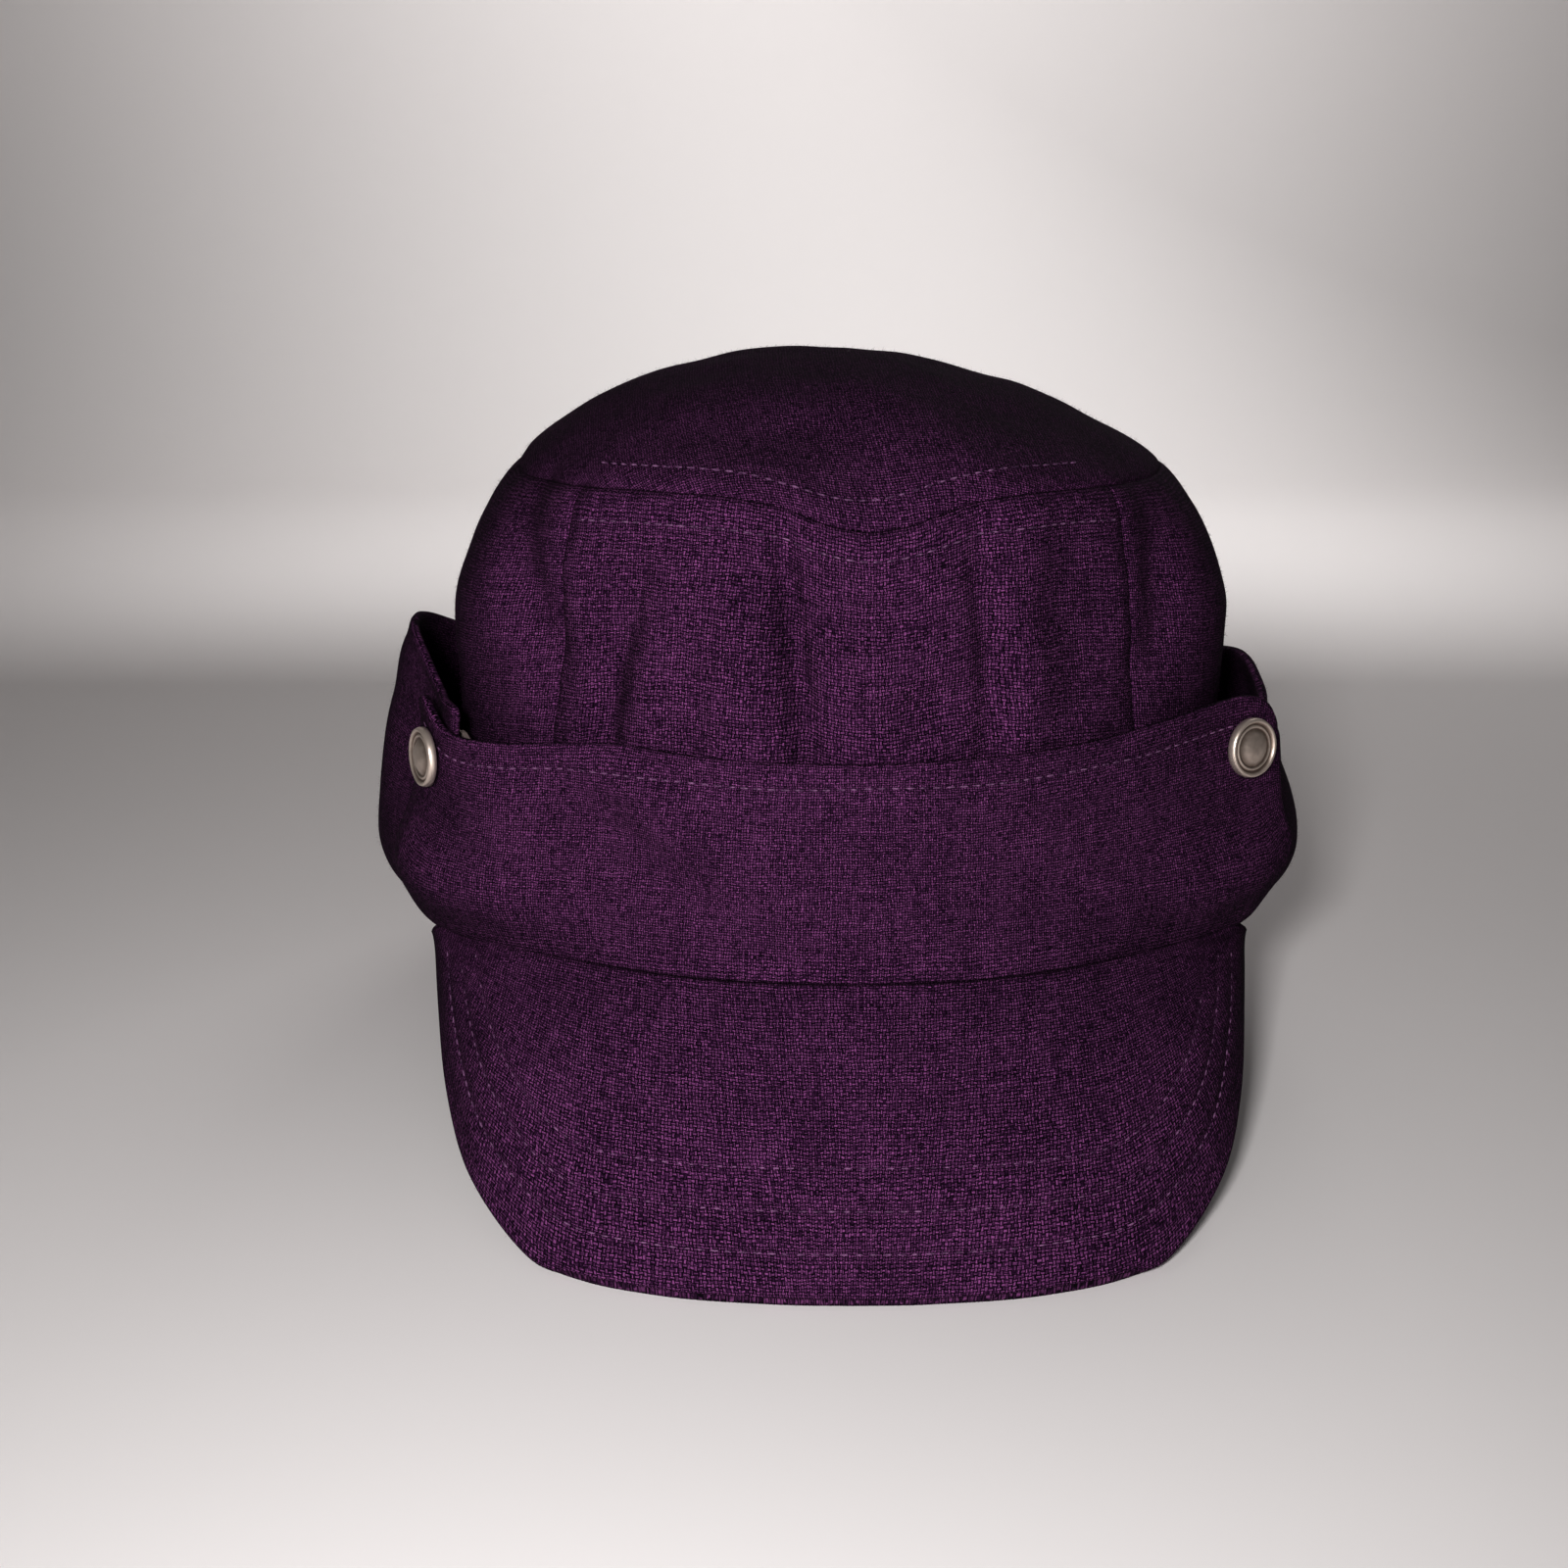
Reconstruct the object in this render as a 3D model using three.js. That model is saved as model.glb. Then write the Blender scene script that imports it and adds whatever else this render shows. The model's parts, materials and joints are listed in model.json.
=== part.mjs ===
// Wool cadet cap: a soft domed crown, a long drooping peak, a band across the front,
// and an ear flap that is turned up round the sides and back and snapped under the band ends.
// The cap rests on the front edge of its peak and on the back of its rim, which the
// surface flattens a little.
//
// Millimetres, +Z up. The front faces -Y and +X is on the right, seen from the front.
// The origin lies on that surface, under the middle of the outline.
// An azimuth is in degrees round the head, 0 at the front, positive to the right.
// A level runs 0 to 1 up the crown wall from the rim to the top seam, and on to 2 at the crest.
import * as THREE from 'three';

// Rim: an oval in a plane that slopes down to the back.
const RIM_HALF_WIDTH = 99;
const RIM_HALF_LENGTH = 89;
const RIM_CENTRE_Y = 20;
const RIM_FRONT_Z = 54;
const RIM_BACK_Z = -1.2;

// Top seam: the oval where the walls meet the top panel.
const SEAM_HALF_WIDTH = 85.5;
const SEAM_HALF_LENGTH = 73;
const SEAM_CENTRE_Y = 33;
const SEAM_FRONT_Z = 160;
const SEAM_SIDE_Z = 155;
const SEAM_BACK_Z = 158;
const SEAM_DIP = 8.5;
const SEAM_DIP_X = 5;
const SEAM_DIP_HALF_WIDTH = 21;
const CREST_Z = 181.5;
const CREST_X = -9.5;
const DOME_POWER = 2.3;
const PANEL_SEAM_AZIMUTH = 48;

// Walls of cloth, and the clearance between neighbouring pieces.
const CROWN_WALL = 2;
const FLAP_WALL = 2.4;
const BAND_WALL = 2.4;
const PEAK_WALL = 3.2;
const CLEARANCE = 0.3;
const BAND_OVER_FLAP = 2.2;

// Front band.
const BAND_END_AZIMUTH = 71;
const BAND_TOP_FRONT_Z = 103;
const BAND_TOP_RISE = 10;
const BAND_FOOT_FRONT_Z = 55.5;
const BAND_FOOT_END_Z = 48;
const BAND_TOP_CORNER = 9;
const BAND_FOOT_CORNER = 14;
const BAND_END_STANDOFF = 26;

// Ear flap.
const FLAP_START_AZIMUTH = 63;
const FLAP_FREE_AZIMUTH = 88;
const FLAP_STANDOFF = 26.5;
const FLAP_HEIGHT = 80;
const FLAP_FOOT_LIFT = 7;

// Peak.
const PEAK_ROOT_AZIMUTH = 66;
const PEAK_REACH = 46.5;
const PEAK_HALF_WIDTH = 103;
const PEAK_CROWN = 4;
const PEAK_SINK = 1.6;

// Snap fasteners.
const SNAP_DIAMETER = 15;
const SNAP_RISE = 3;
const SNAP_SEAT = 0.7;
const SNAP_BACK_DIAMETER = 11;
const SNAP_BACK_RISE = 2.2;
const SNAP_HEIGHT_SHARE = 0.78;
const SNAP_INSET = 10.5;

// How far the wall has come in from the rim oval to the seam oval, at each level.
// The front leans back evenly. The sides and back stand up and turn in near the top.
const WALL_LEAN = [
  { level: 0, front: 0, side: 0 },
  { level: 0.25, front: 0.2, side: -0.03 },
  { level: 0.5, front: 0.42, side: -0.08 },
  { level: 0.73, front: 0.66, side: -0.08 },
  { level: 0.82, front: 0.76, side: 0.09 },
  { level: 0.9, front: 0.86, side: 0.4 },
  { level: 1, front: 1, side: 1 },
];

// Folds and dents of the crown. Depth is in walls, and lean is degrees of azimuth per level.
const CROWN_FOLDS = [
  { azimuth: -8, level: 0.75, halfAngle: 3, halfLevel: 0.3, depth: 1.3, lean: -8 },
  { azimuth: -35, level: 0.62, halfAngle: 4, halfLevel: 0.2, depth: 1.2, lean: 4 },
  { azimuth: 20, level: 0.8, halfAngle: 4, halfLevel: 0.28, depth: 1.1, lean: 0 },
  { azimuth: 4, level: 0.78, halfAngle: 6, halfLevel: 0.09, depth: 0.9, lean: 60 },
  { azimuth: -58, level: 0.8, halfAngle: 6, halfLevel: 0.2, depth: 1.3, lean: -20 },
  { azimuth: 64, level: 0.84, halfAngle: 7, halfLevel: 0.16, depth: 1.4, lean: 25 },
  { azimuth: 108, level: 0.72, halfAngle: 9, halfLevel: 0.22, depth: 1.3, lean: -20 },
  { azimuth: -112, level: 0.75, halfAngle: 9, halfLevel: 0.22, depth: 1.3, lean: 20 },
  { azimuth: 160, level: 0.6, halfAngle: 8, halfLevel: 0.3, depth: 1.2, lean: 15 },
  { azimuth: -30, level: 1.3, halfAngle: 20, halfLevel: 0.16, depth: 1, lean: 0 },
  { azimuth: 45, level: 1.35, halfAngle: 18, halfLevel: 0.16, depth: 1, lean: 0 },
];

// Standoff of the band from the crown, as shares of its standoff at the ends, and how far its
// top edge stands above its front, as shares of its rise.
// The left end is drawn in at its waist and turns back, and the right end flares.
const BAND_SECTIONS = [
  { azimuth: -71, foot: 0.66, middle: 0.82, head: 0.38, top: 0.6, waist: -0.07 },
  { azimuth: -67, foot: 0.62, middle: 0.84, head: 0.44, top: 0.2, waist: -0.07 },
  { azimuth: -61, foot: 0.5, middle: 0.76, head: 0.46, top: -0.35, waist: -0.04 },
  { azimuth: -51, foot: 0.28, middle: 0.5, head: 0.36, top: -0.3, waist: 0 },
  { azimuth: -42, foot: 0.11, middle: 0.24, head: 0.22, top: -0.1, waist: 0 },
  { azimuth: -32, foot: 0.04, middle: 0.08, head: 0.09, top: 0, waist: 0 },
  { azimuth: -15, foot: 0.03, middle: 0.04, head: 0.05, top: 0, waist: 0 },
  { azimuth: 15, foot: 0.03, middle: 0.04, head: 0.05, top: 0, waist: 0 },
  { azimuth: 32, foot: 0.04, middle: 0.08, head: 0.07, top: 0, waist: 0 },
  { azimuth: 42, foot: 0.09, middle: 0.18, head: 0.11, top: 0.05, waist: 0 },
  { azimuth: 51, foot: 0.22, middle: 0.36, head: 0.15, top: 0.15, waist: 0 },
  { azimuth: 61, foot: 0.44, middle: 0.66, head: 0.22, top: 0.25, waist: 0 },
  { azimuth: 66, foot: 0.58, middle: 0.8, head: 0.34, top: 0.3, waist: 0 },
  { azimuth: 71, foot: 0.66, middle: 0.9, head: 0.56, top: 0.3, waist: 0 },
];

// Free part of the flap: its standoff by height, as shares of its full standoff.
const FLAP_PROFILE = [
  { height: 0, standoff: 0.015 },
  { height: 0.04, standoff: 0.36 },
  { height: 0.09, standoff: 0.64 },
  { height: 0.17, standoff: 0.89 },
  { height: 0.27, standoff: 1 },
  { height: 0.37, standoff: 0.98 },
  { height: 0.5, standoff: 0.87 },
  { height: 0.64, standoff: 0.7 },
  { height: 0.76, standoff: 0.55 },
  { height: 0.89, standoff: 0.42 },
  { height: 1, standoff: 0.27 },
];

// The flap round the head, by turn from 0 at the front to the right, the back and the left:
// shares of its full standoff and of its full height, and how much farther out its head
// stands. It stands higher on the left.
const FLAP_ROUND = [
  { turn: 63, standoff: 0.84, height: 0.7, head: 0 },
  { turn: 71, standoff: 0.97, height: 0.76, head: 0 },
  { turn: 88, standoff: 1.03, height: 0.97, head: -0.02 },
  { turn: 108, standoff: 0.9, height: 0.98, head: 0 },
  { turn: 135, standoff: 0.62, height: 0.94, head: 0 },
  { turn: 160, standoff: 0.36, height: 0.92, head: 0 },
  { turn: 180, standoff: 0.22, height: 0.9, head: 0 },
  { turn: 200, standoff: 0.36, height: 0.93, head: 0 },
  { turn: 225, standoff: 0.6, height: 0.98, head: 0.02 },
  { turn: 252, standoff: 0.86, height: 1.06, head: 0.08 },
  { turn: 272, standoff: 0.985, height: 1.1, head: 0.14 },
  { turn: 289, standoff: 0.93, height: 0.8, head: 0 },
  { turn: 297, standoff: 0.82, height: 0.72, head: 0 },
];

// Outer edge of the peak, from its middle to its end: shares of its half width,
// of the way forward to its tip, and of the height that its end stands at.
const PEAK_EDGE = [
  { along: 0, side: 0, reach: 1, lift: 0 },
  { along: 0.2, side: 0.17, reach: 0.995, lift: 0 },
  { along: 0.4, side: 0.42, reach: 0.965, lift: 0 },
  { along: 0.55, side: 0.63, reach: 0.89, lift: 0.02 },
  { along: 0.7, side: 0.81, reach: 0.7, lift: 0.2 },
  { along: 0.82, side: 0.91, reach: 0.46, lift: 0.42 },
  { along: 0.92, side: 0.965, reach: 0.22, lift: 0.7 },
  { along: 1, side: 1, reach: 0.03, lift: 0.97 },
];

const COLOUR_CLOTH = 0x422042;
const COLOUR_SNAP = 0x8f8c90;
const wool = new THREE.MeshStandardMaterial({ color: COLOUR_CLOTH, roughness: 0.95, metalness: 0 });
const metal = new THREE.MeshStandardMaterial({ color: COLOUR_SNAP, roughness: 0.35, metalness: 1 });

const toRadians = THREE.MathUtils.degToRad;
const mix = THREE.MathUtils.lerp;
const ease = THREE.MathUtils.smoothstep;

// Value of a named column at a place along a table, on a smooth curve through its rows.
function readTable(table, key, column, place) {
  const last = table.length - 1;
  const clamped = THREE.MathUtils.clamp(place, table[0][key], table[last][key]);
  let row = 0;
  while (row < last - 1 && clamped > table[row + 1][key]) row += 1;
  const slopeAt = (index) => {
    const before = table[Math.max(index - 1, 0)];
    const after = table[Math.min(index + 1, last)];
    return (after[column] - before[column]) / (after[key] - before[key]);
  };
  const low = table[row];
  const high = table[row + 1];
  const span = high[key] - low[key];
  const share = (clamped - low[key]) / span;
  const cube = share ** 3;
  const square = share ** 2;
  return (2 * cube - 3 * square + 1) * low[column]
    + (cube - 2 * square + share) * span * slopeAt(row)
    + (3 * square - 2 * cube) * high[column]
    + (cube - square) * span * slopeAt(row + 1);
}

// Direction away from the head, level with the surface, at an azimuth.
function outward(azimuth) {
  const angle = toRadians(azimuth);
  const x = RIM_HALF_LENGTH * Math.sin(angle);
  const y = -RIM_HALF_WIDTH * Math.cos(angle);
  return new THREE.Vector3(x, y, 0).normalize();
}

function rimPoint(azimuth) {
  const angle = toRadians(azimuth);
  const slope = (RIM_BACK_Z - RIM_FRONT_Z) / 2;
  return new THREE.Vector3(
    RIM_HALF_WIDTH * Math.sin(angle),
    RIM_CENTRE_Y - RIM_HALF_LENGTH * Math.cos(angle),
    RIM_FRONT_Z + slope * (1 - Math.cos(angle)),
  );
}

function seamPoint(azimuth) {
  const angle = toRadians(azimuth);
  const x = SEAM_HALF_WIDTH * Math.sin(angle);
  const forward = ease(Math.cos(angle), 0.2, 0.9);
  const dip = SEAM_DIP * forward * Math.exp(-(((x - SEAM_DIP_X) / SEAM_DIP_HALF_WIDTH) ** 2));
  const endZ = Math.cos(angle) > 0 ? SEAM_FRONT_Z : SEAM_BACK_Z;
  return new THREE.Vector3(
    x,
    SEAM_CENTRE_Y - SEAM_HALF_LENGTH * Math.cos(angle),
    mix(SEAM_SIDE_Z, endZ, Math.cos(angle) ** 2) - dip,
  );
}

// Depth of the crown's folds at a place, in millimetres.
function foldDepth(azimuth, level) {
  let depth = 0;
  for (const fold of CROWN_FOLDS) {
    const middle = fold.azimuth + fold.lean * (level - fold.level);
    const turn = THREE.MathUtils.euclideanModulo(azimuth - middle + 180, 360) - 180;
    const across = turn / fold.halfAngle;
    const along = (level - fold.level) / fold.halfLevel;
    depth += fold.depth * CROWN_WALL * Math.exp(-(across ** 2) - along ** 2);
  }
  return depth;
}

// Outer face of the crown.
function crownPoint(azimuth, level) {
  const seam = seamPoint(azimuth);
  const point = new THREE.Vector3();
  if (level <= 1) {
    const rim = rimPoint(azimuth);
    const frontShare = ease(Math.cos(toRadians(azimuth)), 0.2, 0.9);
    const frontLean = readTable(WALL_LEAN, 'level', 'front', level);
    const sideLean = readTable(WALL_LEAN, 'level', 'side', level);
    const lean = mix(sideLean, frontLean, frontShare);
    point.set(mix(rim.x, seam.x, lean), mix(rim.y, seam.y, lean), mix(rim.z, seam.z, level));
  } else {
    const radius = 2 - level;
    point.set(
      seam.x * radius + CREST_X * (1 - radius ** 2),
      mix(SEAM_CENTRE_Y, seam.y, radius),
      mix(CREST_Z, seam.z, Math.abs(radius) ** DOME_POWER),
    );
  }
  const depth = foldDepth(azimuth, level);
  const upward = ease(level, 0.9, 1.4);
  point.addScaledVector(outward(azimuth), -depth * (1 - upward));
  point.z -= depth * upward;
  return point;
}

// A point at a height above the surface and a standoff from the crown wall.
function besideCrown(azimuth, height, standoff) {
  const rim = rimPoint(azimuth);
  const seam = seamPoint(azimuth);
  const level = (height - rim.z) / (seam.z - rim.z);
  const frontShare = ease(Math.cos(toRadians(azimuth)), 0.2, 0.9);
  const frontLean = readTable(WALL_LEAN, 'level', 'front', level);
  const sideLean = readTable(WALL_LEAN, 'level', 'side', level);
  const lean = mix(sideLean, frontLean, frontShare);
  const point = new THREE.Vector3(mix(rim.x, seam.x, lean), mix(rim.y, seam.y, lean), height);
  return point.addScaledVector(outward(azimuth), standoff);
}

// Unit normal of a surface of two values, by differences over a small step of each.
function normalOf(surface, first, second, firstStep, secondStep) {
  const alongFirst = surface(first + firstStep, second).sub(surface(first - firstStep, second));
  const alongSecond = surface(first, second + secondStep).sub(surface(first, second - secondStep));
  return alongFirst.cross(alongSecond).normalize();
}

// What lies below the surface that the cap rests on is pressed flat on it.
function onSurface(point) {
  point.z = Math.max(point.z, 0);
  return point;
}

// A closed wall between two faces, each a function of a share along and a share across.
// A ring joins up round the shares along, and a pole closes it at the last share across.
function wallBetween(face, back, columns, rows, { ring = false, pole = false } = {}) {
  const points = [];
  const grids = [face, back].map((surface) => {
    const grid = [];
    for (let j = 0; j <= rows; j += 1) {
      const line = [];
      const count = ring ? columns : columns + 1;
      for (let i = 0; i < count; i += 1) {
        if (i === 0 || !pole || j < rows) points.push(onSurface(surface(i / columns, j / rows)));
        line.push(points.length - 1);
      }
      if (ring) line.push(line[0]);
      grid.push(line);
    }
    return grid;
  });
  const triangles = [];
  const addQuad = (a, b, c, d) => {
    for (const corners of [[a, b, c], [a, c, d]]) {
      if (new Set(corners).size === 3) triangles.push(...corners);
    }
  };
  const [front, rear] = grids;
  for (let j = 0; j < rows; j += 1) {
    for (let i = 0; i < columns; i += 1) {
      addQuad(front[j][i], front[j][i + 1], front[j + 1][i + 1], front[j + 1][i]);
      addQuad(rear[j][i], rear[j + 1][i], rear[j + 1][i + 1], rear[j][i + 1]);
    }
  }
  for (let i = 0; i < columns; i += 1) {
    addQuad(rear[0][i], rear[0][i + 1], front[0][i + 1], front[0][i]);
    if (!pole) addQuad(front[rows][i], front[rows][i + 1], rear[rows][i + 1], rear[rows][i]);
  }
  for (let j = 0; j < rows && !ring; j += 1) {
    addQuad(front[j][0], front[j + 1][0], rear[j + 1][0], rear[j][0]);
    addQuad(front[j][columns], rear[j][columns], rear[j + 1][columns], front[j + 1][columns]);
  }
  const geometry = new THREE.BufferGeometry();
  const values = points.flatMap((point) => [point.x, point.y, point.z]);
  geometry.setAttribute('position', new THREE.Float32BufferAttribute(values, 3));
  geometry.setIndex(triangles);
  return geometry;
}

// Half a clearance along the crown, as degrees of azimuth and as a share of a level.
const HALF_GAP_DEGREES = THREE.MathUtils.radToDeg(CLEARANCE / 2 / SEAM_HALF_LENGTH);
const HALF_GAP_LEVEL = CLEARANCE / 2 / (SEAM_SIDE_Z - RIM_FRONT_Z);
const HALF_GAP_RADIUS = CLEARANCE / 2 / SEAM_HALF_LENGTH;
const AZIMUTH_STEP = 0.8;
const LEVEL_STEP = 0.012;

// Inner face of the crown, one wall inside the outer face.
function crownInner(azimuth, level) {
  const point = crownPoint(azimuth, level);
  const normal = normalOf(crownPoint, azimuth, level, AZIMUTH_STEP, LEVEL_STEP);
  return point.addScaledVector(normal, -CROWN_WALL);
}

function crownPanel(fromAzimuth, toAzimuth, columns, rows) {
  const span = (share) => mix(fromAzimuth + HALF_GAP_DEGREES, toAzimuth - HALF_GAP_DEGREES, share);
  const level = (share) => share * (1 - HALF_GAP_LEVEL);
  return wallBetween(
    (i, j) => crownPoint(span(i), level(j)),
    (i, j) => crownInner(span(i), level(j)),
    columns,
    rows,
  );
}

function topPanel() {
  const level = (share) => mix(1 + HALF_GAP_RADIUS, 2, share);
  const crest = crownPoint(0, 2);
  const inner = (i, j) => {
    if (j < 1) return crownInner(360 * i, level(j));
    return crest.clone().setZ(crest.z - CROWN_WALL);
  };
  const outer = (i, j) => crownPoint(360 * i, level(j));
  return wallBetween(outer, inner, 60, 7, { ring: true, pole: true });
}

// Standoff of the band's inner face at an azimuth, for a share of its height.
function bandStandoff(azimuth, share) {
  const foot = readTable(BAND_SECTIONS, 'azimuth', 'foot', azimuth);
  const middle = readTable(BAND_SECTIONS, 'azimuth', 'middle', azimuth);
  const head = readTable(BAND_SECTIONS, 'azimuth', 'head', azimuth);
  const waist = readTable(BAND_SECTIONS, 'azimuth', 'waist', azimuth);
  const rise = [
    { share: 0, standoff: foot },
    { share: 0.24, standoff: middle },
    { share: 0.5, standoff: mix(middle, head, 0.5) + waist / 3 },
    { share: 0.74, standoff: mix(middle, head, 0.75) + waist },
    { share: 1, standoff: head },
  ];
  return BAND_END_STANDOFF * readTable(rise, 'share', 'standoff', share);
}

// Length along the band for one degree of azimuth, near its ends.
const BAND_DEGREE = toRadians(1) * (RIM_HALF_LENGTH + BAND_END_STANDOFF / 2);

// How much a round corner of the band's end takes off its height, at an azimuth.
function cornerDrop(azimuth, radius) {
  const toEnd = (BAND_END_AZIMUTH - Math.abs(azimuth)) * BAND_DEGREE;
  const inside = THREE.MathUtils.clamp(radius - toEnd, 0, radius);
  return radius - Math.sqrt(radius ** 2 - inside ** 2);
}

function bandFoot(azimuth) {
  const along = ease(Math.abs(azimuth), 0, BAND_END_AZIMUTH);
  return mix(BAND_FOOT_FRONT_Z, BAND_FOOT_END_Z, along);
}

function bandTop(azimuth) {
  return BAND_TOP_FRONT_Z + BAND_TOP_RISE * readTable(BAND_SECTIONS, 'azimuth', 'top', azimuth);
}

// Share of the band's full height that a share between its cut edges stands at.
function bandCut(azimuth, share) {
  const full = bandTop(azimuth) - bandFoot(azimuth);
  const low = cornerDrop(azimuth, BAND_FOOT_CORNER) / full;
  const high = 1 - cornerDrop(azimuth, BAND_TOP_CORNER) / full;
  return mix(low, high, share);
}

// Inner face of the band, for an azimuth and a share of its height.
function bandInner(azimuth, share) {
  const height = mix(bandFoot(azimuth), bandTop(azimuth), share);
  return besideCrown(azimuth, height, bandStandoff(azimuth, share));
}

function bandOuter(azimuth, share) {
  const normal = normalOf(bandInner, azimuth, share, AZIMUTH_STEP, LEVEL_STEP);
  return bandInner(azimuth, share).addScaledVector(normal, BAND_WALL);
}

function frontBand() {
  const span = (share) => mix(-BAND_END_AZIMUTH, BAND_END_AZIMUTH, share);
  const outer = (i, j) => bandOuter(span(i), bandCut(span(i), j));
  const inner = (i, j) => bandInner(span(i), bandCut(span(i), j));
  return wallBetween(outer, inner, 44, 8);
}

// Height of the flap's inner face above the surface, for a share of its height.
function flapHeight(azimuth, share) {
  const turn = THREE.MathUtils.euclideanModulo(azimuth, 360);
  const full = FLAP_HEIGHT * readTable(FLAP_ROUND, 'turn', 'height', turn);
  const tucked = 1 - ease(Math.abs(azimuth), FLAP_START_AZIMUTH, FLAP_FREE_AZIMUTH);
  return rimPoint(azimuth).z + FLAP_FOOT_LIFT * tucked + share * full;
}

// Standoff of the flap's inner face. It stands free at the sides and back,
// and under the band ends it stays inside the band.
function flapStandoff(azimuth, share) {
  const turn = THREE.MathUtils.euclideanModulo(azimuth, 360);
  const round = readTable(FLAP_ROUND, 'turn', 'standoff', turn);
  const head = readTable(FLAP_ROUND, 'turn', 'head', turn) * ease(share, 0.4, 0.75);
  const profile = readTable(FLAP_PROFILE, 'height', 'standoff', share);
  const free = FLAP_STANDOFF * (round * profile + head);
  const height = flapHeight(azimuth, share);
  const bandShare = (height - bandFoot(azimuth)) / (bandTop(azimuth) - bandFoot(azimuth));
  const inside = THREE.MathUtils.clamp(bandShare, 0, 1);
  const limit = bandStandoff(azimuth, inside) - FLAP_WALL - BAND_OVER_FLAP;
  const lower = readTable(FLAP_PROFILE, 'height', 'standoff', Math.min(share, 0.36));
  const tucked = Math.min(FLAP_STANDOFF * round * lower, limit);
  const freedom = ease(Math.abs(azimuth), BAND_END_AZIMUTH, FLAP_FREE_AZIMUTH);
  return Math.max(mix(tucked, free, freedom), CLEARANCE);
}

function flapInner(azimuth, share) {
  return besideCrown(azimuth, flapHeight(azimuth, share), flapStandoff(azimuth, share));
}

function flapOuter(azimuth, share) {
  const normal = normalOf(flapInner, azimuth, share, AZIMUTH_STEP, LEVEL_STEP);
  return flapInner(azimuth, share).addScaledVector(normal, FLAP_WALL);
}

// The flap runs from under the right end of the band, round the back, to under the left end.
function earFlap() {
  const span = (share) => mix(FLAP_START_AZIMUTH, 360 - FLAP_START_AZIMUTH, share);
  const wrapped = (share) => {
    const azimuth = span(share);
    return azimuth > 180 ? azimuth - 360 : azimuth;
  };
  return wallBetween(
    (i, j) => flapOuter(wrapped(i), j),
    (i, j) => flapInner(wrapped(i), j),
    60,
    12,
  );
}

// Underside of the peak: across runs -1 to 1 from left to right, out runs 0 to 1 from the
// root to the edge.
function peakUnder(across, out) {
  const azimuth = across * PEAK_ROOT_AZIMUTH;
  const root = besideCrown(azimuth, rimPoint(azimuth).z, bandStandoff(azimuth, 0));
  root.z = bandFoot(azimuth) - CLEARANCE - PEAK_WALL;
  const end = rimPoint(PEAK_ROOT_AZIMUTH);
  const along = Math.abs(across);
  const side = PEAK_HALF_WIDTH * readTable(PEAK_EDGE, 'along', 'side', along);
  const reach = readTable(PEAK_EDGE, 'along', 'reach', along);
  const lift = readTable(PEAK_EDGE, 'along', 'lift', along);
  const tipY = rimPoint(0).y - PEAK_REACH;
  const endZ = bandFoot(PEAK_ROOT_AZIMUTH) - CLEARANCE - PEAK_WALL;
  const edge = new THREE.Vector3(
    Math.sign(across) * side,
    mix(end.y, tipY, reach),
    mix(-PEAK_SINK, endZ, lift),
  );
  const point = root.lerp(edge, out);
  const bulge = PEAK_CROWN * Math.sin(Math.PI * THREE.MathUtils.clamp(out, 0, 1)) * (1 - lift);
  point.z += bulge;
  point.y -= bulge;
  return point;
}

const PEAK_STEP = 0.01;
function peakOver(across, out) {
  const normal = normalOf(peakUnder, across, out, PEAK_STEP, PEAK_STEP);
  if (normal.z < 0) normal.negate();
  return peakUnder(across, out).addScaledVector(normal, PEAK_WALL);
}

function peak() {
  const span = (share) => 2 * share - 1;
  return wallBetween((i, j) => peakUnder(span(i), j), (i, j) => peakOver(span(i), j), 36, 8);
}

// A round metal piece on its own axis, from a profile of radius and height.
function turned(profile, sides) {
  const outline = profile.map(([radius, height]) => new THREE.Vector2(radius, height));
  const geometry = new THREE.LatheGeometry(outline, sides);
  geometry.rotateX(Math.PI / 2);
  return geometry;
}

// Cap of a snap: a raised rim round a shallow dome.
function snapCap() {
  const radius = SNAP_DIAMETER / 2;
  return turned([
    [0, 0],
    [radius * 0.96, 0],
    [radius, SNAP_RISE * 0.25],
    [radius * 0.97, SNAP_RISE * 0.7],
    [radius * 0.88, SNAP_RISE * 0.85],
    [radius * 0.78, SNAP_RISE * 0.6],
    [radius * 0.5, SNAP_RISE * 0.85],
    [0, SNAP_RISE],
  ], 20);
}

// Back of a snap: a plain flat button.
function snapBack() {
  const radius = SNAP_BACK_DIAMETER / 2;
  return turned([
    [0, 0],
    [radius, 0],
    [radius, SNAP_BACK_RISE * 0.6],
    [radius * 0.8, SNAP_BACK_RISE],
    [0, SNAP_BACK_RISE],
  ], 16);
}

// Stands a turned piece on a face, its axis along a direction.
function standOn(mesh, point, direction, gap) {
  mesh.position.copy(point).addScaledVector(direction, gap);
  mesh.quaternion.setFromUnitVectors(new THREE.Vector3(0, 0, 1), direction);
  return mesh;
}

function named(name, geometry, material) {
  const mesh = new THREE.Mesh(geometry, material);
  mesh.name = name;
  return mesh;
}

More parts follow.
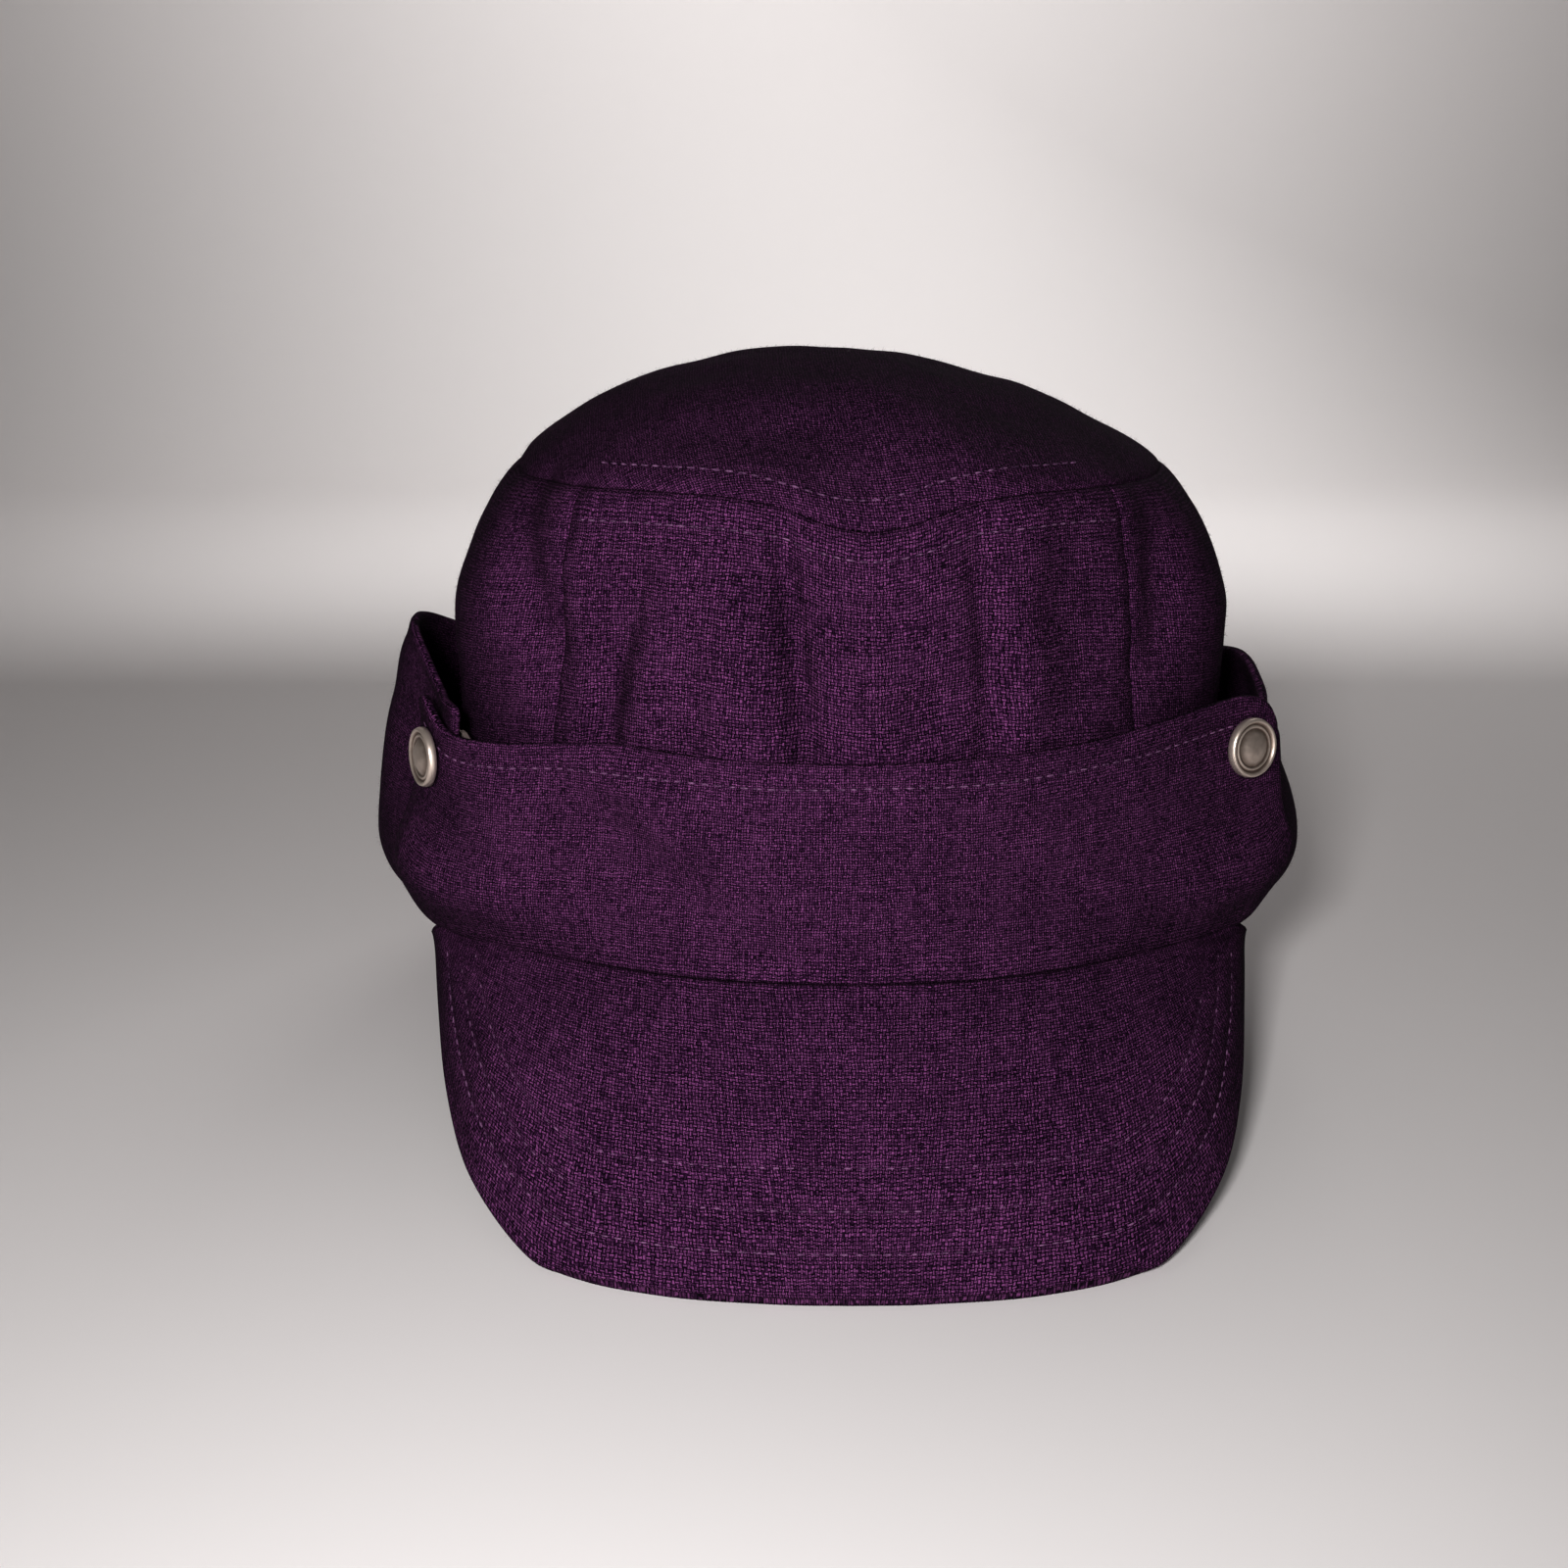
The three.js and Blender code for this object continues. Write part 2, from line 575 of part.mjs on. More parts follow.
// The band's snap cap, and the plain back that the flap carries behind it.
function snapPair(side, azimuth) {
  const normal = normalOf(bandInner, azimuth, SNAP_HEIGHT_SHARE, AZIMUTH_STEP, LEVEL_STEP);
  const face = bandOuter(azimuth, SNAP_HEIGHT_SHARE);
  const cap = standOn(named(`snap_cap_${side}`, snapCap(), metal), face, normal, SNAP_SEAT);
  const height = mix(bandFoot(azimuth), bandTop(azimuth), SNAP_HEIGHT_SHARE);
  const share = (height - flapHeight(azimuth, 0)) / (flapHeight(azimuth, 1) - flapHeight(azimuth, 0));
  const flapFace = flapInner(azimuth, share);
  const inward = normalOf(flapInner, azimuth, share, AZIMUTH_STEP, LEVEL_STEP).negate();
  const back = standOn(named(`snap_back_${side}`, snapBack(), metal), flapFace, inward, SNAP_SEAT);
  return [cap, back];
}

const cap = new THREE.Group();
cap.add(named('top_panel', topPanel(), wool));
cap.add(named('front_panel', crownPanel(-PANEL_SEAM_AZIMUTH, PANEL_SEAM_AZIMUTH, 16, 12), wool));
cap.add(named('side_panel_right', crownPanel(PANEL_SEAM_AZIMUTH, 180, 22, 11), wool));
cap.add(named('side_panel_left', crownPanel(-180, -PANEL_SEAM_AZIMUTH, 22, 11), wool));
cap.add(named('front_band', frontBand(), wool));
cap.add(named('ear_flap', earFlap(), wool));
cap.add(named('peak', peak(), wool));
const snapAzimuth = BAND_END_AZIMUTH - SNAP_INSET / BAND_DEGREE;
cap.add(...snapPair('right', snapAzimuth));
cap.add(...snapPair('left', -snapAzimuth));

export default cap;
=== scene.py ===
"""Wool cadet cap with a turned-up ear flap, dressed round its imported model.

Shapes are worked out in millimetres, front towards -Y, and written in metres.
An azimuth is in degrees round the head, 0 at the front and positive to the right.
A level runs 0 to 1 up the crown wall, and on to 2 at the crest.
"""
import json
import math

import bmesh
import bpy
from mathutils import Matrix, Vector, noise

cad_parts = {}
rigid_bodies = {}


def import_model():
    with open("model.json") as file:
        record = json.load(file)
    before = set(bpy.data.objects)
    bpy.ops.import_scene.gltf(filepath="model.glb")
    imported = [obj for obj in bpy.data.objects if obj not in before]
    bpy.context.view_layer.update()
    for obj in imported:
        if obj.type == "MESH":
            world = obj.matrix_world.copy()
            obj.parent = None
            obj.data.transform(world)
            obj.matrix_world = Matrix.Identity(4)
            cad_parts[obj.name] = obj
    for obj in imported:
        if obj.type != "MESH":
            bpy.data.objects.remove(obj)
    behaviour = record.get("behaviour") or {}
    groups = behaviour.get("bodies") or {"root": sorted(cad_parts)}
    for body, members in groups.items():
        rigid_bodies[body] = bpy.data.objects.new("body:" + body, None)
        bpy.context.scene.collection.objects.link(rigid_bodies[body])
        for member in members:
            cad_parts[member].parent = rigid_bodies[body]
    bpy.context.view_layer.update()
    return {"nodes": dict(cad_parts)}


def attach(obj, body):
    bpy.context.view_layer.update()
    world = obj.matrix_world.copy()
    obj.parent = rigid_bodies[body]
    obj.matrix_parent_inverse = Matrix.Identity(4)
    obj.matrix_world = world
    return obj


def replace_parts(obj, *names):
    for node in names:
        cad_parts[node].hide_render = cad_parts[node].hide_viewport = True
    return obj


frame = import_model()

MM = 0.001

# Crown, as in the model.
RIM_HALF_WIDTH = 99
RIM_HALF_LENGTH = 89
RIM_CENTRE_Y = 20
RIM_FRONT_Z = 54
RIM_BACK_Z = -1.2
SEAM_HALF_WIDTH = 85.5
SEAM_HALF_LENGTH = 73
SEAM_CENTRE_Y = 33
SEAM_FRONT_Z = 160
SEAM_SIDE_Z = 155
SEAM_BACK_Z = 158
SEAM_DIP = 8.5
SEAM_DIP_X = 5
SEAM_DIP_HALF_WIDTH = 21
CREST_Z = 181.5
CREST_X = -9.5
DOME_POWER = 2.3
PANEL_SEAM_AZIMUTH = 48

# The crown takes its front shape between these cosines of the azimuth. Its folds turn from inwards to
# downwards between these levels.
FRONT_FACING = (0.2, 0.9)
DOME_TURN = (0.9, 1.4)

# Overlap of neighbouring crown panels: degrees at the panel seams, and a level at the top seam.
PANEL_OVERLAP = 0.35
TOP_OVERLAP = 0.006

# Walls of cloth.
CROWN_WALL = 2
FLAP_WALL = 2.4
BAND_WALL = 2.4
PEAK_WALL = 3.2
CLEARANCE = 0.3
BAND_OVER_FLAP = 2.2

# Band, flap and peak.
BAND_END_AZIMUTH = 71
BAND_TOP_FRONT_Z = 103
BAND_TOP_RISE = 10
BAND_FOOT_FRONT_Z = 55.5
BAND_FOOT_END_Z = 48
BAND_TOP_CORNER = 9
BAND_FOOT_CORNER = 14
BAND_END_STANDOFF = 26
FLAP_START_AZIMUTH = 63
FLAP_FREE_AZIMUTH = 88
FLAP_STANDOFF = 26.5
FLAP_HEIGHT = 80
FLAP_FOOT_LIFT = 7
FLAP_HEAD_LEAN = (0.4, 0.75)
FLAP_TUCKED_SHARE = 0.36
PEAK_ROOT_AZIMUTH = 66
PEAK_REACH = 46.5
PEAK_HALF_WIDTH = 103
PEAK_CROWN = 4
PEAK_SINK = 1.6

# Snap caps.
SNAP_DIAMETER = 15
SNAP_RISE = 3
SNAP_SEAT = 0.5
SNAP_HEIGHT_SHARE = 0.78
SNAP_INSET = 10.5

# Sewing: a stitch is a short run of thread, and a row lies so far from its seam or edge.
STITCH_LENGTH = 2.1
STITCH_PITCH = 3.1
THREAD_WIDTH = 0.55
STITCH_LIFT = 0.1
ROW_FROM_TOP_SEAM = 7
ROW_ABOVE_TOP_SEAM = 6
ROW_FROM_BAND_EDGE = 7
ROW_FROM_FLAP_EDGE = 4
PEAK_ROWS = (12.5, 21, 29.6)

# Each row sinks into its cloth in a shallow groove.
BAND_GROOVE = 0.5
FLAP_GROOVE = 0.4
PEAK_GROOVE = 0.7
GROOVE_HALF_WIDTH = 1.4
PEAK_GROOVE_HALF_WIDTH = 1.2

# Seams draw the crown in, with puckers along them. A pucker's wave turns by a radian in so many mm.
TOP_TUCK = 1.7
TOP_TUCK_HALF_WIDTH = 1.9
PANEL_TUCK = 0.9
PANEL_TUCK_HALF_WIDTH = 2.2
PANEL_TUCK_REACH = 15
PUCKER = 0.25
PUCKER_RADIAN = 1.9
TOP_PUCKER_HALF_WIDTH = 4.5
PANEL_PUCKER_HALF_WIDTH = 4

# Lengths used to turn distances into shares of the surfaces.
CROWN_HEIGHT = 104
BAND_HEIGHT = 58
MEAN_RADIUS = 92

# How far the band's foot is drawn down over the root of the peak, over a share of its height.
BAND_FOOT_DROP = 2.2
BAND_FOOT_SHARE = 0.12

# Steps over which the slope of a surface is measured: degrees round the head, and shares.
AZIMUTH_STEP = 0.8
BAND_SHARE_STEP = 0.012
ROW_SHARE_STEP = 0.004
PEAK_STEP = 0.01

# Lumps of soft cloth: how wide and how high they are, and a seed for their places.
CROWN_LUMPS = ({"size": 26, "height": 1.1, "seed": 0}, {"size": 11, "height": 0.45, "seed": 7})
BAND_LUMPS = ({"size": 30, "height": 0.9, "seed": 3}, {"size": 12, "height": 0.35, "seed": 5})
FLAP_LUMPS = ({"size": 34, "height": 1.6, "seed": 11}, {"size": 13, "height": 0.5, "seed": 13})
PEAK_LUMPS = ({"size": 22, "height": 0.5, "seed": 17},)

# Each cloth piece laid flat, and the columns and rows of its grid.
CLOTH = {
    "front_panel": {"size": (150, 104), "columns": 74, "rows": 50},
    "side_panel_right": {"size": (200, 130), "columns": 84, "rows": 50},
    "side_panel_left": {"size": (200, 130), "columns": 84, "rows": 50},
    "top_panel": {"size": (530, 88), "columns": 150, "rows": 36},
    "front_band": {"size": (290, 60), "columns": 130, "rows": 34},
    "ear_flap": {"size": (460, 95), "columns": 160, "rows": 44},
    "peak": {"size": (230, 70), "columns": 110, "rows": 40},
}

# Cloth pieces that come down to the surface that the cap rests on.
RESTING = ("ear_flap", "side_panel_right", "side_panel_left", "peak")

WALL_LEAN = (
    {"level": 0, "front": 0, "side": 0},
    {"level": 0.25, "front": 0.2, "side": -0.03},
    {"level": 0.5, "front": 0.42, "side": -0.08},
    {"level": 0.73, "front": 0.66, "side": -0.08},
    {"level": 0.82, "front": 0.76, "side": 0.09},
    {"level": 0.9, "front": 0.86, "side": 0.4},
    {"level": 1, "front": 1, "side": 1},
)
BAND_SECTIONS = (
    {"azimuth": -71, "foot": 0.66, "middle": 0.82, "head": 0.38, "top": 0.6, "waist": -0.07},
    {"azimuth": -67, "foot": 0.62, "middle": 0.84, "head": 0.44, "top": 0.2, "waist": -0.07},
    {"azimuth": -61, "foot": 0.5, "middle": 0.76, "head": 0.46, "top": -0.35, "waist": -0.04},
    {"azimuth": -51, "foot": 0.28, "middle": 0.5, "head": 0.36, "top": -0.3, "waist": 0},
    {"azimuth": -42, "foot": 0.11, "middle": 0.24, "head": 0.22, "top": -0.1, "waist": 0},
    {"azimuth": -32, "foot": 0.04, "middle": 0.08, "head": 0.09, "top": 0, "waist": 0},
    {"azimuth": -15, "foot": 0.03, "middle": 0.04, "head": 0.05, "top": 0, "waist": 0},
    {"azimuth": 15, "foot": 0.03, "middle": 0.04, "head": 0.05, "top": 0, "waist": 0},
    {"azimuth": 32, "foot": 0.04, "middle": 0.08, "head": 0.07, "top": 0, "waist": 0},
    {"azimuth": 42, "foot": 0.09, "middle": 0.18, "head": 0.11, "top": 0.05, "waist": 0},
    {"azimuth": 51, "foot": 0.22, "middle": 0.36, "head": 0.15, "top": 0.15, "waist": 0},
    {"azimuth": 61, "foot": 0.44, "middle": 0.66, "head": 0.22, "top": 0.25, "waist": 0},
    {"azimuth": 66, "foot": 0.58, "middle": 0.8, "head": 0.34, "top": 0.3, "waist": 0},
    {"azimuth": 71, "foot": 0.66, "middle": 0.9, "head": 0.56, "top": 0.3, "waist": 0},
)
FLAP_PROFILE = (
    {"height": 0, "standoff": 0.015},
    {"height": 0.04, "standoff": 0.36},
    {"height": 0.09, "standoff": 0.64},
    {"height": 0.17, "standoff": 0.89},
    {"height": 0.27, "standoff": 1},
    {"height": 0.37, "standoff": 0.98},
    {"height": 0.5, "standoff": 0.87},
    {"height": 0.64, "standoff": 0.7},
    {"height": 0.76, "standoff": 0.55},
    {"height": 0.89, "standoff": 0.42},
    {"height": 1, "standoff": 0.27},
)
FLAP_ROUND = (
    {"turn": 63, "standoff": 0.84, "height": 0.7, "head": 0},
    {"turn": 71, "standoff": 0.97, "height": 0.76, "head": 0},
    {"turn": 88, "standoff": 1.03, "height": 0.97, "head": -0.02},
    {"turn": 108, "standoff": 0.9, "height": 0.98, "head": 0},
    {"turn": 135, "standoff": 0.62, "height": 0.94, "head": 0},
    {"turn": 160, "standoff": 0.36, "height": 0.92, "head": 0},
    {"turn": 180, "standoff": 0.22, "height": 0.9, "head": 0},
    {"turn": 200, "standoff": 0.36, "height": 0.93, "head": 0},
    {"turn": 225, "standoff": 0.6, "height": 0.98, "head": 0.02},
    {"turn": 252, "standoff": 0.86, "height": 1.06, "head": 0.08},
    {"turn": 272, "standoff": 0.985, "height": 1.1, "head": 0.14},
    {"turn": 289, "standoff": 0.93, "height": 0.8, "head": 0},
    {"turn": 297, "standoff": 0.82, "height": 0.72, "head": 0},
)
PEAK_EDGE = (
    {"along": 0, "side": 0, "reach": 1, "lift": 0},
    {"along": 0.2, "side": 0.17, "reach": 0.995, "lift": 0},
    {"along": 0.4, "side": 0.42, "reach": 0.965, "lift": 0},
    {"along": 0.55, "side": 0.63, "reach": 0.89, "lift": 0.02},
    {"along": 0.7, "side": 0.81, "reach": 0.7, "lift": 0.2},
    {"along": 0.82, "side": 0.91, "reach": 0.46, "lift": 0.42},
    {"along": 0.92, "side": 0.965, "reach": 0.22, "lift": 0.7},
    {"along": 1, "side": 1, "reach": 0.03, "lift": 0.97},
)

# Folds of the crown. Depth is inwards, and lean is degrees of azimuth per level.
CROWN_FOLDS = (
    {"azimuth": -7, "level": 0.68, "angle": 2.3, "height": 0.28, "depth": 6.5, "lean": -11},
    {"azimuth": -16, "level": 0.58, "angle": 5.5, "height": 0.32, "depth": -3, "lean": 0},
    {"azimuth": 4, "level": 0.5, "angle": 5, "height": 0.2, "depth": -2.4, "lean": 0},
    {"azimuth": -36, "level": 0.55, "angle": 3, "height": 0.2, "depth": 3.6, "lean": 5},
    {"azimuth": -28, "level": 0.66, "angle": 5, "height": 0.24, "depth": -2, "lean": 5},
    {"azimuth": 21, "level": 0.7, "angle": 2.4, "height": 0.32, "depth": 3.6, "lean": 0},
    {"azimuth": 28, "level": 0.66, "angle": 5, "height": 0.3, "depth": -2.2, "lean": 0},
    {"azimuth": 4, "level": 0.8, "angle": 8, "height": 0.05, "depth": 2.8, "lean": 90},
    {"azimuth": 14, "level": 0.6, "angle": 8, "height": 0.055, "depth": 3, "lean": 60},
    {"azimuth": -22, "level": 0.86, "angle": 9, "height": 0.06, "depth": 2.2, "lean": -40},
    {"azimuth": -53, "level": 0.78, "angle": 5, "height": 0.2, "depth": 3.6, "lean": -20},
    {"azimuth": 54, "level": 0.78, "angle": 5, "height": 0.18, "depth": 3.4, "lean": 25},
    {"azimuth": 108, "level": 0.72, "angle": 9, "height": 0.22, "depth": 2.6, "lean": -20},
    {"azimuth": -112, "level": 0.75, "angle": 9, "height": 0.22, "depth": 2.6, "lean": 20},
    {"azimuth": 160, "level": 0.6, "angle": 8, "height": 0.3, "depth": 2.4, "lean": 15},
    {"azimuth": -30, "level": 1.3, "angle": 20, "height": 0.16, "depth": 2, "lean": 0},
    {"azimuth": 45, "level": 1.35, "angle": 18, "height": 0.16, "depth": 2, "lean": 0},
)

# Two folds slant across the left of the band: the place counts their widths from a slanting line.
BAND_FOLDS = (
    {"azimuth": -30, "place": 0, "width": 0.5, "rise": -1.6},
    {"azimuth": -24, "place": 1, "width": 0.6, "rise": 1.8},
)
BAND_SLANT = {"azimuth": -30, "degrees": 16, "share": 0.55, "shares": 0.3}
BAND_FOLD_REACH = 17
BAND_DEEPEST_FOLD = 1.2
BAND_STILL_EDGE = 5


def mix(low, high, share):
    return low + (high - low) * share


def clamp(value, low, high):
    return max(low, min(high, value))


def ease(value, low, high):
    share = clamp((value - low) / (high - low), 0, 1)
    return share * share * (3 - 2 * share)


def hump(distance, half_width):
    return math.exp(-(distance / half_width) ** 2)


def read_table(table, key, column, place):
    """Value of a named column, on a smooth curve through the table's rows."""
    last = len(table) - 1
    place = clamp(place, table[0][key], table[last][key])
    row = 0
    while row < last - 1 and place > table[row + 1][key]:
        row += 1

    def slope(index):
        before = table[max(index - 1, 0)]
        after = table[min(index + 1, last)]
        return (after[column] - before[column]) / (after[key] - before[key])

    low, high = table[row], table[row + 1]
    span = high[key] - low[key]
    share = (place - low[key]) / span
    cube, square = share ** 3, share ** 2
    return (
        (2 * cube - 3 * square + 1) * low[column]
        + (cube - 2 * square + share) * span * slope(row)
        + (3 * square - 2 * cube) * high[column]
        + (cube - square) * span * slope(row + 1)
    )


def outward(azimuth):
    angle = math.radians(azimuth)
    return Vector((RIM_HALF_LENGTH * math.sin(angle), -RIM_HALF_WIDTH * math.cos(angle), 0)).normalized()


def rim_point(azimuth):
    angle = math.radians(azimuth)
    return Vector((
        RIM_HALF_WIDTH * math.sin(angle),
        RIM_CENTRE_Y - RIM_HALF_LENGTH * math.cos(angle),
        RIM_FRONT_Z + (RIM_BACK_Z - RIM_FRONT_Z) / 2 * (1 - math.cos(angle)),
    ))


def seam_point(azimuth):
    angle = math.radians(azimuth)
    x = SEAM_HALF_WIDTH * math.sin(angle)
    end_z = SEAM_FRONT_Z if math.cos(angle) > 0 else SEAM_BACK_Z
    dip = SEAM_DIP * ease(math.cos(angle), *FRONT_FACING) * hump(x - SEAM_DIP_X, SEAM_DIP_HALF_WIDTH)
    return Vector((
        x,
        SEAM_CENTRE_Y - SEAM_HALF_LENGTH * math.cos(angle),
        mix(SEAM_SIDE_Z, end_z, math.cos(angle) ** 2) - dip,
    ))


def wall_lean(azimuth, level):
    front = ease(math.cos(math.radians(azimuth)), *FRONT_FACING)
    side_lean = read_table(WALL_LEAN, "level", "side", level)
    return mix(side_lean, read_table(WALL_LEAN, "level", "front", level), front)


def unevenness(place, lumps):
    """Height of the lumps of soft cloth at a place."""
    total = 0
    for lump in lumps:
        away = Vector((lump["seed"], lump["seed"], lump["seed"]))
        total += lump["height"] * noise.noise(place / lump["size"] + away)
    return total


def fold_depth(azimuth, level):
    depth = 0
    for fold in CROWN_FOLDS:
        middle = fold["azimuth"] + fold["lean"] * (level - fold["level"])
        middle += fold["angle"] * noise.noise(Vector((fold["azimuth"], level * 4, 0.5)))
        turn = (azimuth - middle + 180) % 360 - 180
        if abs(turn) < 3 * fold["angle"]:
            depth += fold["depth"] * hump(turn, fold["angle"]) * hump(level - fold["level"], fold["height"])
    return depth


def seam_tuck(azimuth, level):
    """How far the seams draw the crown in, with small puckers along them."""
    if level <= 1:
        to_top = (1 - level) * CROWN_HEIGHT
    else:
        to_top = (level - 1) * SEAM_HALF_LENGTH
    along_top = math.radians(azimuth) * MEAN_RADIUS
    turn = along_top / PUCKER_RADIAN + 2 * math.sin(along_top / 9)
    pucker = PUCKER * math.sin(turn) * hump(to_top, TOP_PUCKER_HALF_WIDTH)
    tuck = TOP_TUCK * hump(to_top, TOP_TUCK_HALF_WIDTH) + pucker
    if level < 1.02:
        for seam in (-PANEL_SEAM_AZIMUTH, PANEL_SEAM_AZIMUTH, 180, -180):
            away = math.radians(azimuth - seam) * MEAN_RADIUS
            if abs(away) < PANEL_TUCK_REACH:
                turn = level * CROWN_HEIGHT / PUCKER_RADIAN + seam
                pucker = PUCKER * math.sin(turn) * hump(away, PANEL_PUCKER_HALF_WIDTH)
                tuck += PANEL_TUCK * hump(away, PANEL_TUCK_HALF_WIDTH) + pucker
    return tuck


def crown_point(azimuth, level):
    """Outer face of the crown."""
    seam = seam_point(azimuth)
    if level <= 1:
        rim = rim_point(azimuth)
        lean = wall_lean(azimuth, level)
        point = Vector((mix(rim.x, seam.x, lean), mix(rim.y, seam.y, lean), mix(rim.z, seam.z, level)))
    else:
        radius = 2 - level
        point = Vector((
            seam.x * radius + CREST_X * (1 - radius ** 2),
            mix(SEAM_CENTRE_Y, seam.y, radius),
            mix(CREST_Z, seam.z, abs(radius) ** DOME_POWER),
        ))
    depth = fold_depth(azimuth, level) + seam_tuck(azimuth, level)
    depth += unevenness(point, CROWN_LUMPS)
    downward = ease(level, *DOME_TURN)
    point -= outward(azimuth) * depth * (1 - downward)
    point.z -= depth * downward
    return point


def beside_crown(azimuth, height, standoff):
    rim = rim_point(azimuth)
    seam = seam_point(azimuth)
    lean = wall_lean(azimuth, (height - rim.z) / (seam.z - rim.z))
    point = Vector((mix(rim.x, seam.x, lean), mix(rim.y, seam.y, lean), height))
    return point + outward(azimuth) * standoff


def band_standoff(azimuth, share):
    middle = read_table(BAND_SECTIONS, "azimuth", "middle", azimuth)
    head = read_table(BAND_SECTIONS, "azimuth", "head", azimuth)
    waist = read_table(BAND_SECTIONS, "azimuth", "waist", azimuth)
    rise = (
        {"share": 0, "standoff": read_table(BAND_SECTIONS, "azimuth", "foot", azimuth)},
        {"share": 0.24, "standoff": middle},
        {"share": 0.5, "standoff": mix(middle, head, 0.5) + waist / 3},
        {"share": 0.74, "standoff": mix(middle, head, 0.75) + waist},
        {"share": 1, "standoff": head},
    )
    return BAND_END_STANDOFF * read_table(rise, "share", "standoff", share)


# Length along the band for one degree of azimuth, near its ends.
BAND_DEGREE = math.radians(1) * (RIM_HALF_LENGTH + BAND_END_STANDOFF / 2)


def corner_drop(azimuth, radius):
    """How much a round corner of the band's end takes off its height."""
    to_end = (BAND_END_AZIMUTH - abs(azimuth)) * BAND_DEGREE
    inside = clamp(radius - to_end, 0, radius)
    return radius - math.sqrt(radius ** 2 - inside ** 2)


def band_foot(azimuth):
    return mix(BAND_FOOT_FRONT_Z, BAND_FOOT_END_Z, ease(abs(azimuth), 0, BAND_END_AZIMUTH))


def band_top(azimuth):
    return BAND_TOP_FRONT_Z + BAND_TOP_RISE * read_table(BAND_SECTIONS, "azimuth", "top", azimuth)


def band_cut(azimuth, share):
    """Share of the band's full height that a share between its cut edges stands at."""
    full = band_top(azimuth) - band_foot(azimuth)
    low = corner_drop(azimuth, BAND_FOOT_CORNER) / full
    return mix(low, 1 - corner_drop(azimuth, BAND_TOP_CORNER) / full, share)


def band_inner(azimuth, share):
    height = mix(band_foot(azimuth), band_top(azimuth), share)
    return beside_crown(azimuth, height, band_standoff(azimuth, share))


def band_face(azimuth, share):
    """Inner face of the band with its folds and the slow waves of soft cloth."""
    point = band_inner(azimuth, share)
    slant = (azimuth - BAND_SLANT["azimuth"]) / BAND_SLANT["degrees"]
    slant += (share - BAND_SLANT["share"]) / BAND_SLANT["shares"]
    wave = 0
    for fold in BAND_FOLDS:
        across = hump(slant - fold["place"], fold["width"])
        wave += fold["rise"] * across * hump(azimuth - fold["azimuth"], BAND_FOLD_REACH)
    wave += unevenness(point, BAND_LUMPS)
    edge = min(share, 1 - share) * BAND_HEIGHT
    row = BAND_GROOVE * hump((1 - share) * BAND_HEIGHT - ROW_FROM_BAND_EDGE, GROOVE_HALF_WIDTH)
    point.z -= BAND_FOOT_DROP * (1 - ease(share, 0, BAND_FOOT_SHARE))
    return point + outward(azimuth) * (max(wave, -BAND_DEEPEST_FOLD) * ease(edge, 0, BAND_STILL_EDGE) - row)


def band_sheet(azimuth, share):
    """The band's face between its cut edges, which round off at its ends."""
    return band_face(azimuth, band_cut(azimuth, share))


def flap_height(azimuth, share):
    full = FLAP_HEIGHT * read_table(FLAP_ROUND, "turn", "height", azimuth % 360)
    tucked = 1 - ease(abs(azimuth), FLAP_START_AZIMUTH, FLAP_FREE_AZIMUTH)
    return rim_point(azimuth).z + FLAP_FOOT_LIFT * tucked + share * full


def flap_standoff(azimuth, share):
    turn = read_table(FLAP_ROUND, "turn", "standoff", azimuth % 360)
    head = read_table(FLAP_ROUND, "turn", "head", azimuth % 360) * ease(share, *FLAP_HEAD_LEAN)
    free = FLAP_STANDOFF * (turn * read_table(FLAP_PROFILE, "height", "standoff", share) + head)
    height = flap_height(azimuth, share)
    band_share = (height - band_foot(azimuth)) / (band_top(azimuth) - band_foot(azimuth))
    limit = band_standoff(azimuth, clamp(band_share, 0, 1)) - FLAP_WALL - BAND_OVER_FLAP
    lower = read_table(FLAP_PROFILE, "height", "standoff", min(share, FLAP_TUCKED_SHARE))
    tucked = min(FLAP_STANDOFF * turn * lower, limit)
    freedom = ease(abs(azimuth), BAND_END_AZIMUTH, FLAP_FREE_AZIMUTH)
    return max(mix(tucked, free, freedom), CLEARANCE)


def flap_inner(azimuth, share):
    return beside_crown(azimuth, flap_height(azimuth, share), flap_standoff(azimuth, share))


def flap_face(azimuth, share):
    """Inner face of the flap, with soft dents where it stands free of the band."""
    point = flap_inner(azimuth, share)
    free = ease(abs(azimuth), 76, 95) * ease(share, 0.06, 0.3)
    wave = unevenness(point, FLAP_LUMPS)
    wave += 0.5 * math.sin(math.radians(azimuth) * 14) * ease(share, 0.2, 1)
    row = FLAP_GROOVE * hump((1 - share) * FLAP_HEIGHT - ROW_FROM_FLAP_EDGE, GROOVE_HALF_WIDTH)
    return point + outward(azimuth) * (wave * free - row)


def peak_under(across, out):
    """Underside of the peak, from its root at 0 to its edge at 1."""
    azimuth = across * PEAK_ROOT_AZIMUTH
    root = beside_crown(azimuth, rim_point(azimuth).z, band_standoff(azimuth, 0))
    root.z = band_foot(azimuth) - CLEARANCE - PEAK_WALL
    along = abs(across)
    lift = read_table(PEAK_EDGE, "along", "lift", along)
    reach = read_table(PEAK_EDGE, "along", "reach", along)
    end_z = band_foot(PEAK_ROOT_AZIMUTH) - CLEARANCE - PEAK_WALL
    edge = Vector((
        math.copysign(PEAK_HALF_WIDTH * read_table(PEAK_EDGE, "along", "side", along), across),
        mix(rim_point(PEAK_ROOT_AZIMUTH).y, rim_point(0).y - PEAK_REACH, reach),
        mix(-PEAK_SINK, end_z, lift),
    ))
    point = root.lerp(edge, out)
    bulge = PEAK_CROWN * math.sin(math.pi * clamp(out, 0, 1)) * (1 - lift)
    return point + Vector((0, -bulge, bulge))


